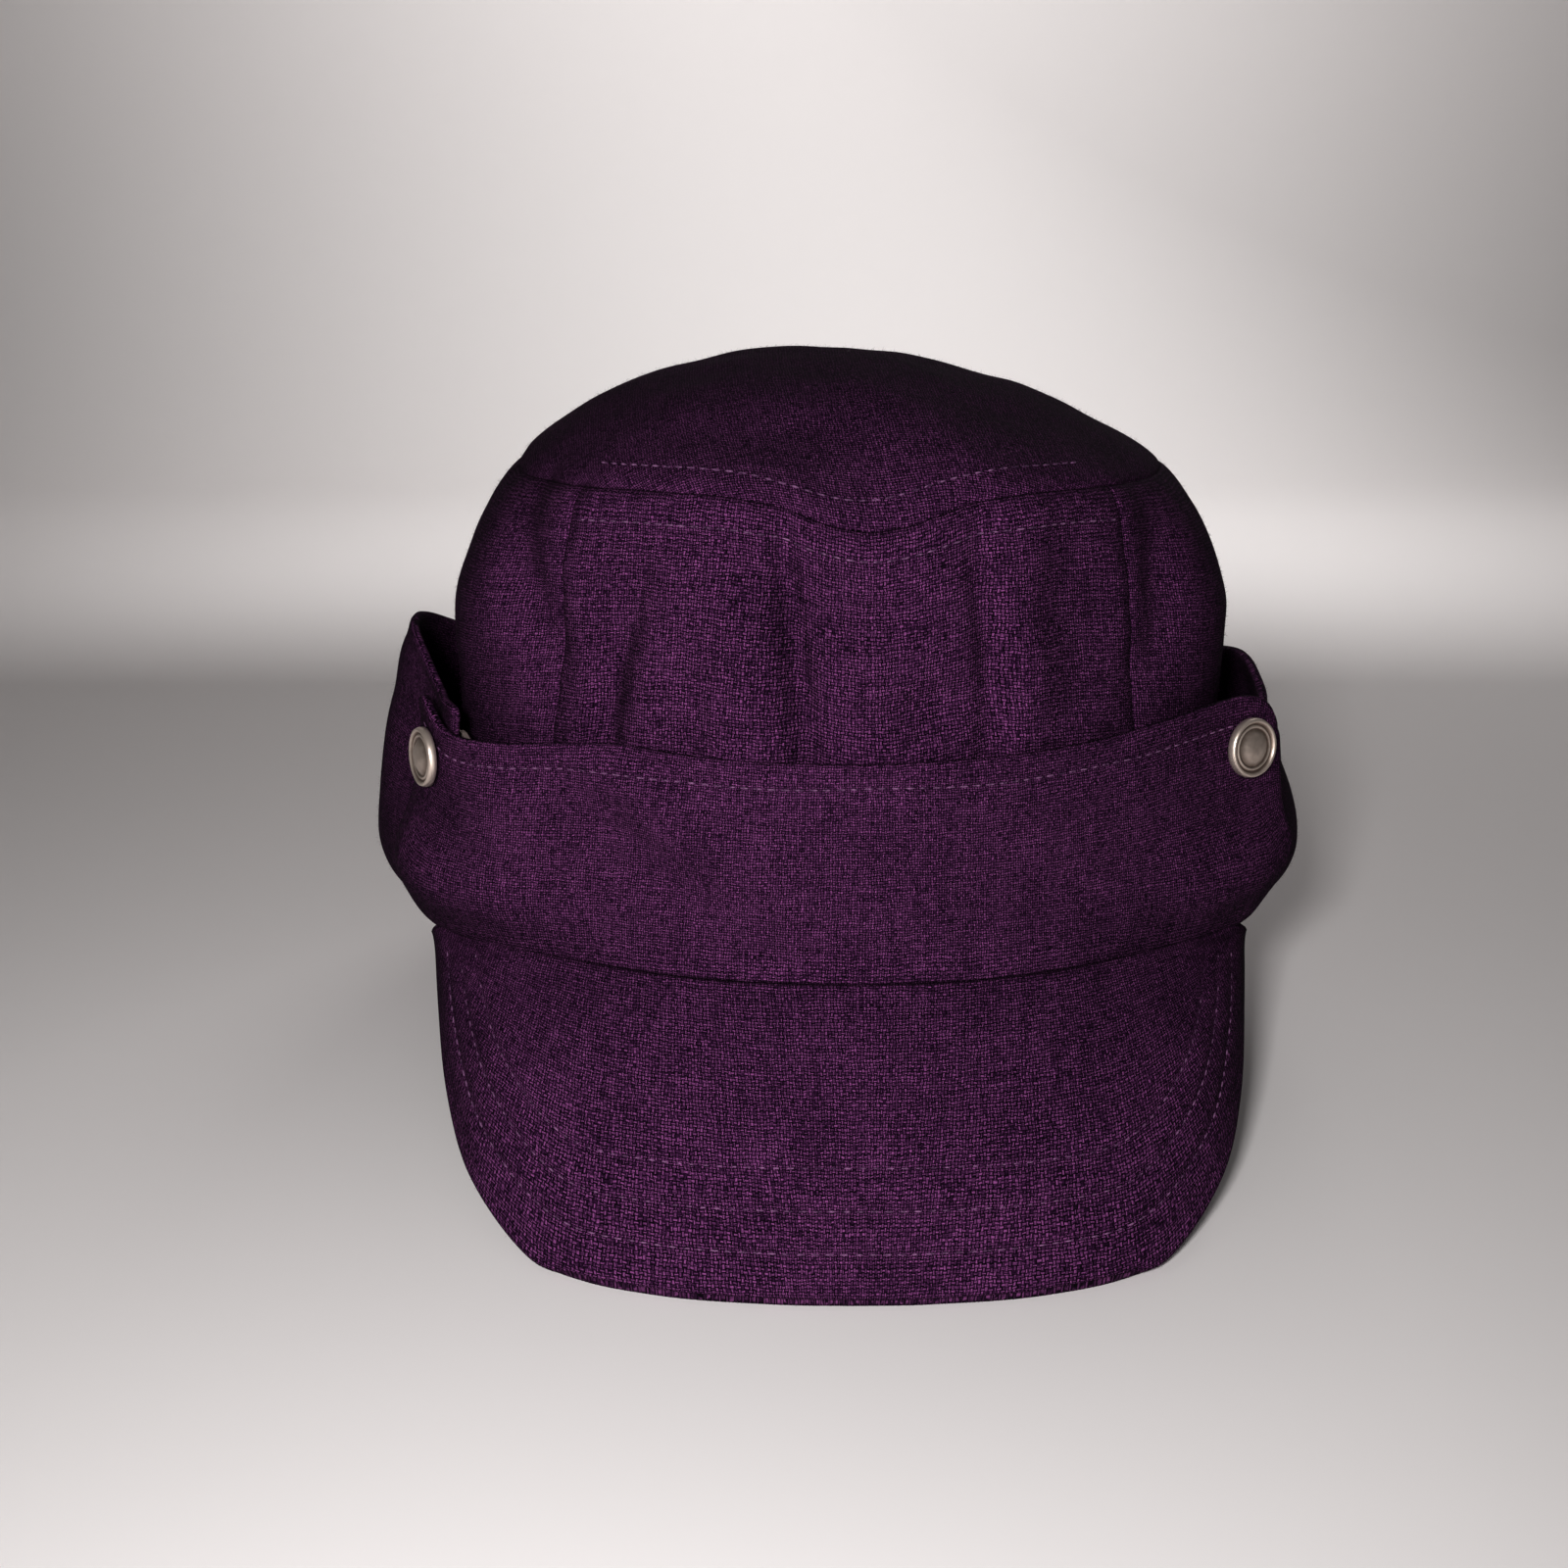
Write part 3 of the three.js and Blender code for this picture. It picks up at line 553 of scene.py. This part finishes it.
def peak_reach(across):
    return (peak_under(across, 1) - peak_under(across, 0)).length


def peak_face(across, out):
    """Underside of the peak with shallow grooves at its sewn rows."""
    point = peak_under(across, out)
    to_edge = (1 - out) * peak_reach(across)
    groove = sum(PEAK_GROOVE * hump(to_edge - row, PEAK_GROOVE_HALF_WIDTH) for row in PEAK_ROWS)
    lumps = unevenness(point, PEAK_LUMPS) * ease(min(out, 1 - out), 0, 0.1)
    return point + Vector((0, -0.7, 0.7)) * (lumps - groove)


def normal_of(surface, first, second, first_step, second_step):
    along_first = surface(first + first_step, second) - surface(first - first_step, second)
    along_second = surface(first, second + second_step) - surface(first, second - second_step)
    return along_first.cross(along_second).normalized()


def spread(low, high, count, marks=()):
    """Even places from low to high, with the nearest one moved to each mark."""
    places = [mix(low, high, index / count) for index in range(count + 1)]
    for mark in marks:
        nearest = min(range(1, count), key=lambda index: abs(places[index] - mark))
        places[nearest] = mark
    return places


def new_object(name, mesh_source):
    mesh = bpy.data.meshes.new(name)
    mesh_source.to_mesh(mesh)
    mesh_source.free()
    mesh.polygons.foreach_set("use_smooth", [True] * len(mesh.polygons))
    piece = bpy.data.objects.new(name, mesh)
    bpy.context.scene.collection.objects.link(piece)
    return piece


def cloth_sheet(node, surface, first_ends, second_ends, marks=(), ring=False, pole=False):
    """A grid laid on a surface, with its weave laid out in metres of cloth."""
    width, height = CLOTH[node]["size"]
    columns, rows = CLOTH[node]["columns"], CLOTH[node]["rows"]
    firsts = spread(*first_ends, columns)
    seconds = spread(*second_ends, rows, marks)
    bm = bmesh.new()
    weave = bm.loops.layers.uv.new("weave")
    bmesh.ops.create_grid(bm, x_segments=columns, y_segments=rows, size=0.5)
    for face in bm.faces:
        for loop in face.loops:
            across, up = loop.vert.co.x + 0.5, loop.vert.co.y + 0.5
            if pole:
                angle = across * math.tau
                reach = (1 - up) * height
                loop[weave].uv = (reach * math.sin(angle) * MM, reach * math.cos(angle) * MM)
            else:
                loop[weave].uv = (across * width * MM, up * height * MM)
    for vert in bm.verts:
        column = round((vert.co.x + 0.5) * columns)
        row = round((vert.co.y + 0.5) * rows)
        place = surface(firsts[column % columns if ring else column], seconds[row])
        place.z = max(place.z, 0)
        vert.co = place * MM
    if ring or pole:
        bmesh.ops.remove_doubles(bm, verts=bm.verts[:], dist=0.00001)
    return new_object(node + "_cloth", bm)


def thicken(piece, wall, outwards):
    """Gives a sheet its wall and rounds its edges."""
    solid = piece.modifiers.new("wall", "SOLIDIFY")
    solid.thickness = wall * MM
    solid.offset = 1 if outwards else -1
    smooth = piece.modifiers.new("rounding", "SUBSURF")
    smooth.levels = 1
    smooth.render_levels = 1


def colour(code):
    """Linear colour of an sRGB hex value."""
    channels = [int(code[index:index + 2], 16) / 255 for index in (1, 3, 5)]
    linear = [c / 12.92 if c <= 0.04045 else ((c + 0.055) / 1.055) ** 2.4 for c in channels]
    return (*linear, 1)


def add_node(material, kind, settings=None, inputs=None):
    """Adds a node with its settings, and inputs given as values or as other nodes' outputs."""
    node = material.node_tree.nodes.new(kind)
    for key, value in (settings or {}).items():
        setattr(node, key, value)
    for key, value in (inputs or {}).items():
        if isinstance(value, bpy.types.NodeSocket):
            material.node_tree.links.new(value, node.inputs[key])
        else:
            node.inputs[key].default_value = value
    return node


def new_material(name):
    material = bpy.data.materials.new(name)
    material.use_nodes = True
    return material, material.node_tree.nodes["Principled BSDF"]


# Wool: the pitch of its yarns, and how much each feature counts towards light or dark cloth. The relief's
# share is painted shade: the hollows between the yarns are darker than their crests.
YARN_PITCH = 0.74
FIBRE_TONE = 0.92
SLUB_TONE = 0.08
YARN_TONE = 0.24
WEAVE_HOLLOW_SHADE = 0.24


def maths(material, operation, first, second=0.0):
    settings = {"operation": operation}
    return add_node(material, "ShaderNodeMath", settings, {0: first, 1: second}).outputs[0]


def melange_wool(name, dark, mid, light):
    """Plain-weave melange wool: soft yarns of mixed dark and light fibre, over and under, with painted
    shade in the hollows between the yarns and where the cloth turns away from the view.
    """
    material, shader = new_material(name)
    place = add_node(material, "ShaderNodeUVMap", {"uv_map": "weave"}).outputs["UV"]
    drift = add_node(material, "ShaderNodeTexNoise", None,
                     {"Vector": place, "Scale": 260.0, "Detail": 2.0}).outputs["Color"]
    centred = add_node(material, "ShaderNodeVectorMath", {"operation": "SUBTRACT"},
                       {0: drift, 1: (0.5, 0.5, 0.5)}).outputs[0]
    scaled = add_node(material, "ShaderNodeVectorMath", {"operation": "SCALE"},
                      {0: centred, "Scale": 0.0011}).outputs[0]
    woven = add_node(material, "ShaderNodeVectorMath", {"operation": "ADD"},
                     {0: place, 1: scaled}).outputs[0]
    split = add_node(material, "ShaderNodeSeparateXYZ", None, {"Vector": woven})
    turns = math.pi / (YARN_PITCH * MM)
    warp = maths(material, "SINE", maths(material, "MULTIPLY", split.outputs["X"], turns))
    weft = maths(material, "SINE", maths(material, "MULTIPLY", split.outputs["Y"], turns))
    over = add_node(material, "ShaderNodeMapRange", {"interpolation_type": "SMOOTHSTEP"},
                    {"Value": maths(material, "MULTIPLY", warp, weft), "From Min": -0.15,
                     "From Max": 0.15}).outputs["Result"]
    warp_height = maths(material, "ABSOLUTE", warp)
    weft_height = maths(material, "ABSOLUTE", weft)
    relief = add_node(material, "ShaderNodeMix", {"data_type": "FLOAT"},
                      {"Factor": over, "A": weft_height, "B": warp_height}).outputs["Result"]
    fibre_warp = add_node(material, "ShaderNodeTexNoise", None, {
        "Vector": add_node(material, "ShaderNodeMapping", None,
                           {"Vector": woven, "Scale": (4200.0, 420.0, 1.0)}).outputs[0],
        "Scale": 1.0, "Detail": 3.0, "Roughness": 0.65}).outputs["Fac"]
    fibre_weft = add_node(material, "ShaderNodeTexNoise", None, {
        "Vector": add_node(material, "ShaderNodeMapping", None,
                           {"Vector": woven, "Scale": (420.0, 4200.0, 1.0)}).outputs[0],
        "Scale": 1.0, "Detail": 3.0, "Roughness": 0.65}).outputs["Fac"]
    fibre = add_node(material, "ShaderNodeMix", {"data_type": "FLOAT"},
                     {"Factor": over, "A": fibre_weft, "B": fibre_warp}).outputs["Result"]
    slub = add_node(material, "ShaderNodeTexNoise", None,
                    {"Vector": place, "Scale": 45.0, "Detail": 4.0}).outputs["Fac"]
    blend = maths(material, "ADD", maths(material, "MULTIPLY", fibre, FIBRE_TONE),
                  maths(material, "MULTIPLY", slub, SLUB_TONE))
    yarns = []
    for scales in ((70.0, 1200.0, 1.0), (1200.0, 70.0, 1.0)):
        laid = add_node(material, "ShaderNodeMapping", None, {"Vector": woven, "Scale": scales})
        yarns.append(add_node(material, "ShaderNodeTexNoise", None,
                              {"Vector": laid.outputs[0], "Scale": 1.0, "Detail": 1.0}).outputs["Fac"])
    yarn = add_node(material, "ShaderNodeMix", {"data_type": "FLOAT"},
                    {"Factor": over, "A": yarns[0], "B": yarns[1]}).outputs["Result"]
    uneven = maths(material, "MULTIPLY", maths(material, "SUBTRACT", yarn, 0.5), YARN_TONE)
    # Painted shade: the colour is darkened in the hollows of the weave and lightened on the crests of the
    # yarns.
    raised = maths(material, "MULTIPLY", maths(material, "SUBTRACT", relief, 0.6), WEAVE_HOLLOW_SHADE)
    lit = maths(material, "ADD", blend, maths(material, "ADD", raised, uneven))
    ramp = add_node(material, "ShaderNodeValToRGB", None, {"Fac": lit})
    ramp.color_ramp.elements[0].position = 0.39
    ramp.color_ramp.elements[0].color = colour(dark)
    ramp.color_ramp.elements[1].position = 0.68
    ramp.color_ramp.elements[1].color = colour(light)
    ramp.color_ramp.elements.new(0.52).color = colour(mid)
    height = maths(material, "ADD", maths(material, "MULTIPLY", relief, 0.75),
                   maths(material, "MULTIPLY", fibre, 0.5))
    bump = add_node(material, "ShaderNodeBump", None,
                    {"Height": height, "Strength": 0.85, "Distance": 0.0005}).outputs["Normal"]
    # Painted shade: the base colour is darkened where the cloth turns away from the view, down to about a
    # quarter at grazing angles.
    facing = add_node(material, "ShaderNodeLayerWeight", None, {"Blend": 0.5}).outputs["Facing"]
    shade = add_node(material, "ShaderNodeMapRange", None,
                     {"Value": facing, "From Min": 0.2, "From Max": 0.8, "To Min": 0.95,
                      "To Max": 0.26}).outputs["Result"]
    painted_shade_colour = add_node(material, "ShaderNodeVectorMath", {"operation": "SCALE"},
                   {0: ramp.outputs["Color"], "Scale": shade}).outputs[0]
    material.node_tree.links.new(painted_shade_colour, shader.inputs["Base Color"])
    material.node_tree.links.new(bump, shader.inputs["Normal"])
    shader.inputs["Roughness"].default_value = 0.95
    shader.inputs["Specular IOR Level"].default_value = 0.08
    shader.inputs["Sheen Weight"].default_value = 0.03
    shader.inputs["Sheen Roughness"].default_value = 0.5
    shader.inputs["Sheen Tint"].default_value = colour("#7a4a78")
    return material


def wool_thread(name, dark, light):
    """Spun sewing thread and loose fibre, both matt."""
    material, shader = new_material(name)
    place = add_node(material, "ShaderNodeTexCoord").outputs["Object"]
    tone = add_node(material, "ShaderNodeTexNoise", None,
                    {"Vector": place, "Scale": 900.0, "Detail": 2.0}).outputs["Fac"]
    ramp = add_node(material, "ShaderNodeValToRGB", None, {"Fac": tone})
    ramp.color_ramp.elements[0].position = 0.35
    ramp.color_ramp.elements[0].color = colour(dark)
    ramp.color_ramp.elements[1].position = 0.65
    ramp.color_ramp.elements[1].color = colour(light)
    material.node_tree.links.new(ramp.outputs["Color"], shader.inputs["Base Color"])
    shader.inputs["Roughness"].default_value = 0.85
    shader.inputs["Specular IOR Level"].default_value = 0.2
    return material


def antique_silver(name):
    """Stamped brass plated in antique silver: bright on the ridges and dark in the hollows."""
    material, shader = new_material(name)
    place = add_node(material, "ShaderNodeTexCoord").outputs["Object"]
    worn = add_node(material, "ShaderNodeTexNoise", None,
                    {"Vector": place, "Scale": 700.0, "Detail": 4.0}).outputs["Fac"]
    ridge = add_node(material, "ShaderNodeNewGeometry").outputs["Pointiness"]
    edge = add_node(material, "ShaderNodeMapRange", None,
                    {"Value": ridge, "From Min": 0.46, "From Max": 0.56}).outputs["Result"]
    tone = maths(material, "ADD", maths(material, "MULTIPLY", edge, 0.75),
                 maths(material, "MULTIPLY", worn, 0.35))
    ramp = add_node(material, "ShaderNodeValToRGB", None, {"Fac": tone})
    ramp.color_ramp.elements[0].position = 0.2
    ramp.color_ramp.elements[0].color = colour("#7d6d64")
    ramp.color_ramp.elements[1].position = 0.75
    ramp.color_ramp.elements[1].color = colour("#d6c8be")
    rough = add_node(material, "ShaderNodeMapRange", None,
                     {"Value": worn, "To Min": 0.28, "To Max": 0.5}).outputs["Result"]
    bump = add_node(material, "ShaderNodeBump", None,
                    {"Height": worn, "Strength": 0.25, "Distance": 0.0001}).outputs["Normal"]
    material.node_tree.links.new(ramp.outputs["Color"], shader.inputs["Base Color"])
    material.node_tree.links.new(rough, shader.inputs["Roughness"])
    material.node_tree.links.new(bump, shader.inputs["Normal"])
    shader.inputs["Metallic"].default_value = 0.75
    return material


def plain_matt(name, code, roughness):
    material, shader = new_material(name)
    shader.inputs["Base Color"].default_value = colour(code)
    shader.inputs["Roughness"].default_value = roughness
    return material


def stitch_row(bm, surface, path, first_step):
    """Stitches along a path of surface places. Each is a short bead of thread that sinks in."""
    size = Matrix.Diagonal((THREAD_WIDTH / 2 * MM, THREAD_WIDTH / 2 * MM, STITCH_LENGTH / 2 * MM, 1))
    points = []
    for first, second in path:
        normal = normal_of(surface, first, second, first_step, ROW_SHARE_STEP)
        point = surface(first, second)
        point.z = max(point.z, 0)
        points.append((point, normal))
    travelled, due = 0, STITCH_PITCH / 2
    for (start, normal), (end, _) in zip(points, points[1:]):
        step = (end - start).length
        while step > 0 and travelled + step >= due:
            share = (due - travelled) / step
            middle = start.lerp(end, share)
            if normal.dot(middle - Vector((0, RIM_CENTRE_Y, 60))) < 0:
                normal = -normal
            forward = (end - start).normalized()
            sideways = normal.cross(forward).normalized()
            turn = Matrix((forward, sideways, forward.cross(sideways))).transposed().to_4x4()
            place = Matrix.Translation((middle + normal * STITCH_LIFT) * MM)
            bead = place @ turn @ Matrix.Rotation(math.pi / 2, 4, "Y") @ size
            bmesh.ops.create_uvsphere(bm, u_segments=6, v_segments=5, radius=1, matrix=bead)
            due += STITCH_PITCH
        travelled += step


def finish_stitches(name, bm):
    piece = new_object(name, bm)
    piece.data.materials.append(thread)
    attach(piece, "root")
    return piece


# Half section of a snap cap, from the middle of its back: shares of its radius and of its rise.
SNAP_PROFILE = (
    (0, 0.02), (0.9, 0.02), (0.99, 0.12), (1.0, 0.32), (0.985, 0.55), (0.95, 0.74), (0.9, 0.8),
    (0.85, 0.72), (0.81, 0.52), (0.77, 0.5), (0.73, 0.64), (0.69, 0.66), (0.65, 0.54), (0.6, 0.56),
    (0.45, 0.8), (0.25, 0.95), (0, 1.0),
)


def snap_cap(name, azimuth):
    """A stamped cap: a rolled rim, a groove, a raised ring and a plain domed middle."""
    radius = SNAP_DIAMETER / 2
    bm = bmesh.new()
    verts = [bm.verts.new((share * radius, 0, up * SNAP_RISE)) for share, up in SNAP_PROFILE]
    edges = [bm.edges.new(pair) for pair in zip(verts, verts[1:])]
    bmesh.ops.spin(bm, geom=verts + edges, cent=(0, 0, 0), axis=(0, 0, 1), angle=math.tau,
                   steps=40, use_merge=True)
    bmesh.ops.remove_doubles(bm, verts=bm.verts[:], dist=0.001)
    bmesh.ops.recalc_face_normals(bm, faces=bm.faces[:])
    normal = normal_of(band_inner, azimuth, SNAP_HEIGHT_SHARE, AZIMUTH_STEP, BAND_SHARE_STEP)
    face = band_inner(azimuth, SNAP_HEIGHT_SHARE) + normal * (BAND_WALL + SNAP_SEAT)
    turn = Vector((0, 0, 1)).rotation_difference(normal).to_matrix().to_4x4()
    bmesh.ops.transform(bm, matrix=Matrix.Scale(MM, 4) @ Matrix.Translation(face) @ turn, verts=bm.verts[:])
    piece = new_object(name, bm)
    piece.data.materials.append(silver)
    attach(piece, "root")
    return piece


def bake(piece):
    """Turns what a piece's modifiers make into plain mesh."""
    graph = bpy.context.evaluated_depsgraph_get()
    mesh = bpy.data.meshes.new_from_object(piece.evaluated_get(graph))
    piece.modifiers.clear()
    piece.data = mesh


def press_flat(piece):
    """Bakes a piece, and keeps it from reaching below the surface that the cap rests on."""
    bake(piece)
    for vert in piece.data.vertices:
        vert.co.z = max(vert.co.z, 0)


# Fuzz: loose fibres that stand a little off the cloth, per square metre.
FIBRES = 420000
FIBRE_LENGTH = 1.5
FIBRE_WIDTH = 0.045


def fuzz_nodes(lift, seed):
    """Sows short fibres over a sheet, leaning every way, at a height above it."""
    group = bpy.data.node_groups.new("wool_fuzz", "GeometryNodeTree")
    group.interface.new_socket("Geometry", in_out="INPUT", socket_type="NodeSocketGeometry")
    group.interface.new_socket("Geometry", in_out="OUTPUT", socket_type="NodeSocketGeometry")

    def step(kind, settings=None, inputs=None):
        node = group.nodes.new(kind)
        for key, value in (settings or {}).items():
            setattr(node, key, value)
        for key, value in (inputs or {}).items():
            if isinstance(value, bpy.types.NodeSocket):
                group.links.new(value, node.inputs[key])
            else:
                node.inputs[key].default_value = value
        return node

    sheet = step("NodeGroupInput").outputs[0]
    sown = step("GeometryNodeDistributePointsOnFaces", None,
                {"Mesh": sheet, "Density": FIBRES, "Seed": seed})
    raised = step("ShaderNodeVectorMath", {"operation": "SCALE"},
                  {0: sown.outputs["Normal"], "Scale": lift * MM}).outputs[0]
    roots = step("GeometryNodeSetPosition", None,
                 {"Geometry": sown.outputs["Points"], "Offset": raised}).outputs[0]
    fibre = step("GeometryNodeMeshCone", {"fill_type": "NONE"},
                 {"Vertices": 3, "Radius Top": 0.0, "Radius Bottom": FIBRE_WIDTH / 2 * MM,
                  "Depth": FIBRE_LENGTH * MM}).outputs["Mesh"]
    lean = step("FunctionNodeRandomValue", {"data_type": "FLOAT_VECTOR"},
                {0: (-1.25, -1.25, 0.0), 1: (1.25, 1.25, 6.28), "Seed": seed + 1}).outputs[0]
    turned = step("FunctionNodeRotateRotation", {"rotation_space": "LOCAL"},
                  {"Rotation": sown.outputs["Rotation"], "Rotate By": lean}).outputs[0]
    length = step("FunctionNodeRandomValue", {"data_type": "FLOAT"},
                  {2: 0.3, 3: 1.0, "Seed": seed + 2}).outputs[1]
    placed = step("GeometryNodeInstanceOnPoints", None,
                  {"Points": roots, "Instance": fibre, "Rotation": turned, "Scale": length})
    real = step("GeometryNodeRealizeInstances", None, {"Geometry": placed.outputs[0]}).outputs[0]
    step("NodeGroupOutput", None, {0: real})
    return group


def grow_fuzz(sheet, lift, seed):
    """The fuzz of a cloth piece, sown before the piece gets its wall."""
    piece = bpy.data.objects.new(sheet.name.replace("_cloth", "_fuzz"), sheet.data.copy())
    bpy.context.scene.collection.objects.link(piece)
    piece.modifiers.new("fuzz", "NODES").node_group = fuzz_nodes(lift, seed)
    press_flat(piece)
    piece.data.materials.clear()
    piece.data.materials.append(lint)
    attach(piece, "root")


def dress(piece, node, wall, outwards):
    """Gives a cloth sheet its fuzz, its wall and its wool, in place of a node of the model."""
    if node == "peak":
        lift = -wall
    else:
        lift = wall if outwards else 0
    grow_fuzz(piece, lift, len(bpy.data.objects))
    thicken(piece, wall, outwards)
    if node in RESTING:
        press_flat(piece)
    piece.data.materials.append(wool)
    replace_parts(piece, node)
    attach(piece, "root")
    return piece


wool = melange_wool("melange_wool_plain_weave", "#0b030d", "#371639", "#8f5488")
thread = wool_thread("spun_wool_thread", "#351a38", "#8a6486")
silver = antique_silver("antique_silver_plate")
lint = wool_thread("loose_wool_fibre", "#2c102c", "#5c3058")

# Crown panels.
lower_row = 1 - ROW_FROM_TOP_SEAM / CROWN_HEIGHT
upper_row = 1 + ROW_ABOVE_TOP_SEAM / SEAM_HALF_LENGTH
wall_ends = {
    "front_panel": (-PANEL_SEAM_AZIMUTH - PANEL_OVERLAP, PANEL_SEAM_AZIMUTH + PANEL_OVERLAP),
    "side_panel_right": (PANEL_SEAM_AZIMUTH - PANEL_OVERLAP, 180 + PANEL_OVERLAP),
    "side_panel_left": (-180 - PANEL_OVERLAP, -PANEL_SEAM_AZIMUTH + PANEL_OVERLAP),
}
for panel, ends in wall_ends.items():
    dress(cloth_sheet(panel, crown_point, ends, (0, 1), (lower_row,)), panel, CROWN_WALL, False)
top = cloth_sheet("top_panel", crown_point, (-180, 180), (1 - TOP_OVERLAP, 2), (upper_row,),
                  ring=True, pole=True)
dress(top, "top_panel", CROWN_WALL, False)

# Band, flap and peak.
band_row = 1 - ROW_FROM_BAND_EDGE / BAND_HEIGHT
band = cloth_sheet("front_band", band_sheet, (-BAND_END_AZIMUTH, BAND_END_AZIMUTH), (0, 1), (band_row,))
dress(band, "front_band", BAND_WALL, True)


def flap_round(turn, share):
    return flap_face(turn - 360 if turn > 180 else turn, share)


flap_row = 1 - ROW_FROM_FLAP_EDGE / FLAP_HEIGHT
flap = cloth_sheet("ear_flap", flap_round, (FLAP_START_AZIMUTH, 360 - FLAP_START_AZIMUTH), (0, 1),
                   (flap_row,))
dress(flap, "ear_flap", FLAP_WALL, True)
dress(cloth_sheet("peak", peak_face, (-1, 1), (0, 1)), "peak", PEAK_WALL, False)

# Sewn rows.
crown_rows = bmesh.new()
for level in (lower_row, upper_row):
    reach = PANEL_SEAM_AZIMUTH - 2
    path = [(azimuth, level) for azimuth in spread(-reach, reach, 60)]
    stitch_row(crown_rows, crown_point, path, AZIMUTH_STEP)
finish_stitches("crown_topstitching", crown_rows)


def band_outer(azimuth, share):
    normal = normal_of(band_inner, azimuth, share, AZIMUTH_STEP, BAND_SHARE_STEP)
    return band_face(azimuth, share) + normal * BAND_WALL


band_rows = bmesh.new()
reach = BAND_END_AZIMUTH - 3
path = [(azimuth, band_row) for azimuth in spread(-reach, reach, 90)]
stitch_row(band_rows, band_outer, path, AZIMUTH_STEP)
finish_stitches("band_topstitching", band_rows)


def peak_over(across, out):
    normal = normal_of(peak_under, across, out, PEAK_STEP, PEAK_STEP)
    if normal.z < 0:
        normal = -normal
    return peak_face(across, out) + normal * PEAK_WALL


peak_sewing = bmesh.new()
for row in PEAK_ROWS:
    path = [(a, 1 - row / peak_reach(a)) for a in spread(-0.97, 0.97, 90) if peak_reach(a) > row + 2]
    stitch_row(peak_sewing, peak_over, path, PEAK_STEP)
finish_stitches("peak_topstitching", peak_sewing)

# Snap caps.
end = BAND_END_AZIMUTH - SNAP_INSET / BAND_DEGREE
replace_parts(snap_cap("snap_cap_right_stamped", end), "snap_cap_right")
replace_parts(snap_cap("snap_cap_left_stamped", -end), "snap_cap_left")
for node in ("snap_back_right", "snap_back_left"):
    back = frame["nodes"][node]
    back.data.materials.clear()
    back.data.materials.append(silver)

# Floor, light and camera.
SWEEP_START = 0.75
SWEEP_RADIUS = 0.3
floor_bm = bmesh.new()
bmesh.ops.create_grid(floor_bm, x_segments=1, y_segments=240, size=2.0)
for vert in floor_bm.verts:
    beyond = max(vert.co.y - SWEEP_START, 0)
    bend = min(beyond / SWEEP_RADIUS, math.pi / 2)
    vert.co.y = min(vert.co.y, SWEEP_START) + SWEEP_RADIUS * math.sin(bend)
    vert.co.z = SWEEP_RADIUS * (1 - math.cos(bend)) + max(beyond - SWEEP_RADIUS * math.pi / 2, 0)
floor = new_object("floor", floor_bm)
floor.data.materials.append(plain_matt("pale_paper", "#e4e0df", 0.9))


def area_light(name, place, aim, size, power):
    data = bpy.data.lights.new(name, "AREA")
    data.size = size
    data.energy = power
    light = bpy.data.objects.new(name, data)
    light.location = place
    light.rotation_euler = (Vector(aim) - Vector(place)).to_track_quat("-Z", "Y").to_euler()
    bpy.context.scene.collection.objects.link(light)


area_light("flash", place=(-0.09, -0.42, 0.3), aim=(0, 0, 0.08), size=0.07, power=2.0)
area_light("backdrop", place=(0, 0.45, 0.6), aim=(0, 1.05, 0.45), size=0.8, power=5)
area_light("rear", place=(0.35, 0.7, 0.6), aim=(0, 0.05, 0.08), size=0.5, power=1.6)
area_light("bounce", place=(0, -0.4, 0.06), aim=(0, -0.08, 0.03), size=0.2, power=0.34)
world = bpy.data.worlds.new("soft_room")
bpy.context.scene.world = world
world.use_nodes = True
world.node_tree.nodes["Background"].inputs["Color"].default_value = colour("#f3efee")
world.node_tree.nodes["Background"].inputs["Strength"].default_value = 0.1
bpy.context.scene.view_settings.view_transform = "Standard"
bpy.context.scene.view_settings.gamma = 0.8

# The photo's camera: its place, its tilt, and its focal length in pixels of the photo.
EYE = (-14.5, -372, 228)
TILT_DOWN = 22.5
FOCAL_PIXELS = 1541
PHOTO_PIXELS = 1600
SENSOR_WIDTH = 36
camera_data = bpy.data.cameras.new("camera")
camera_data.sensor_width = SENSOR_WIDTH
camera_data.lens = SENSOR_WIDTH * FOCAL_PIXELS / PHOTO_PIXELS
camera_data.clip_start = 0.01
camera = bpy.data.objects.new("camera", camera_data)
camera.location = Vector(EYE) * MM
camera.rotation_euler = (math.radians(90 - TILT_DOWN), 0, 0)
bpy.context.scene.collection.objects.link(camera)
bpy.context.scene.camera = camera
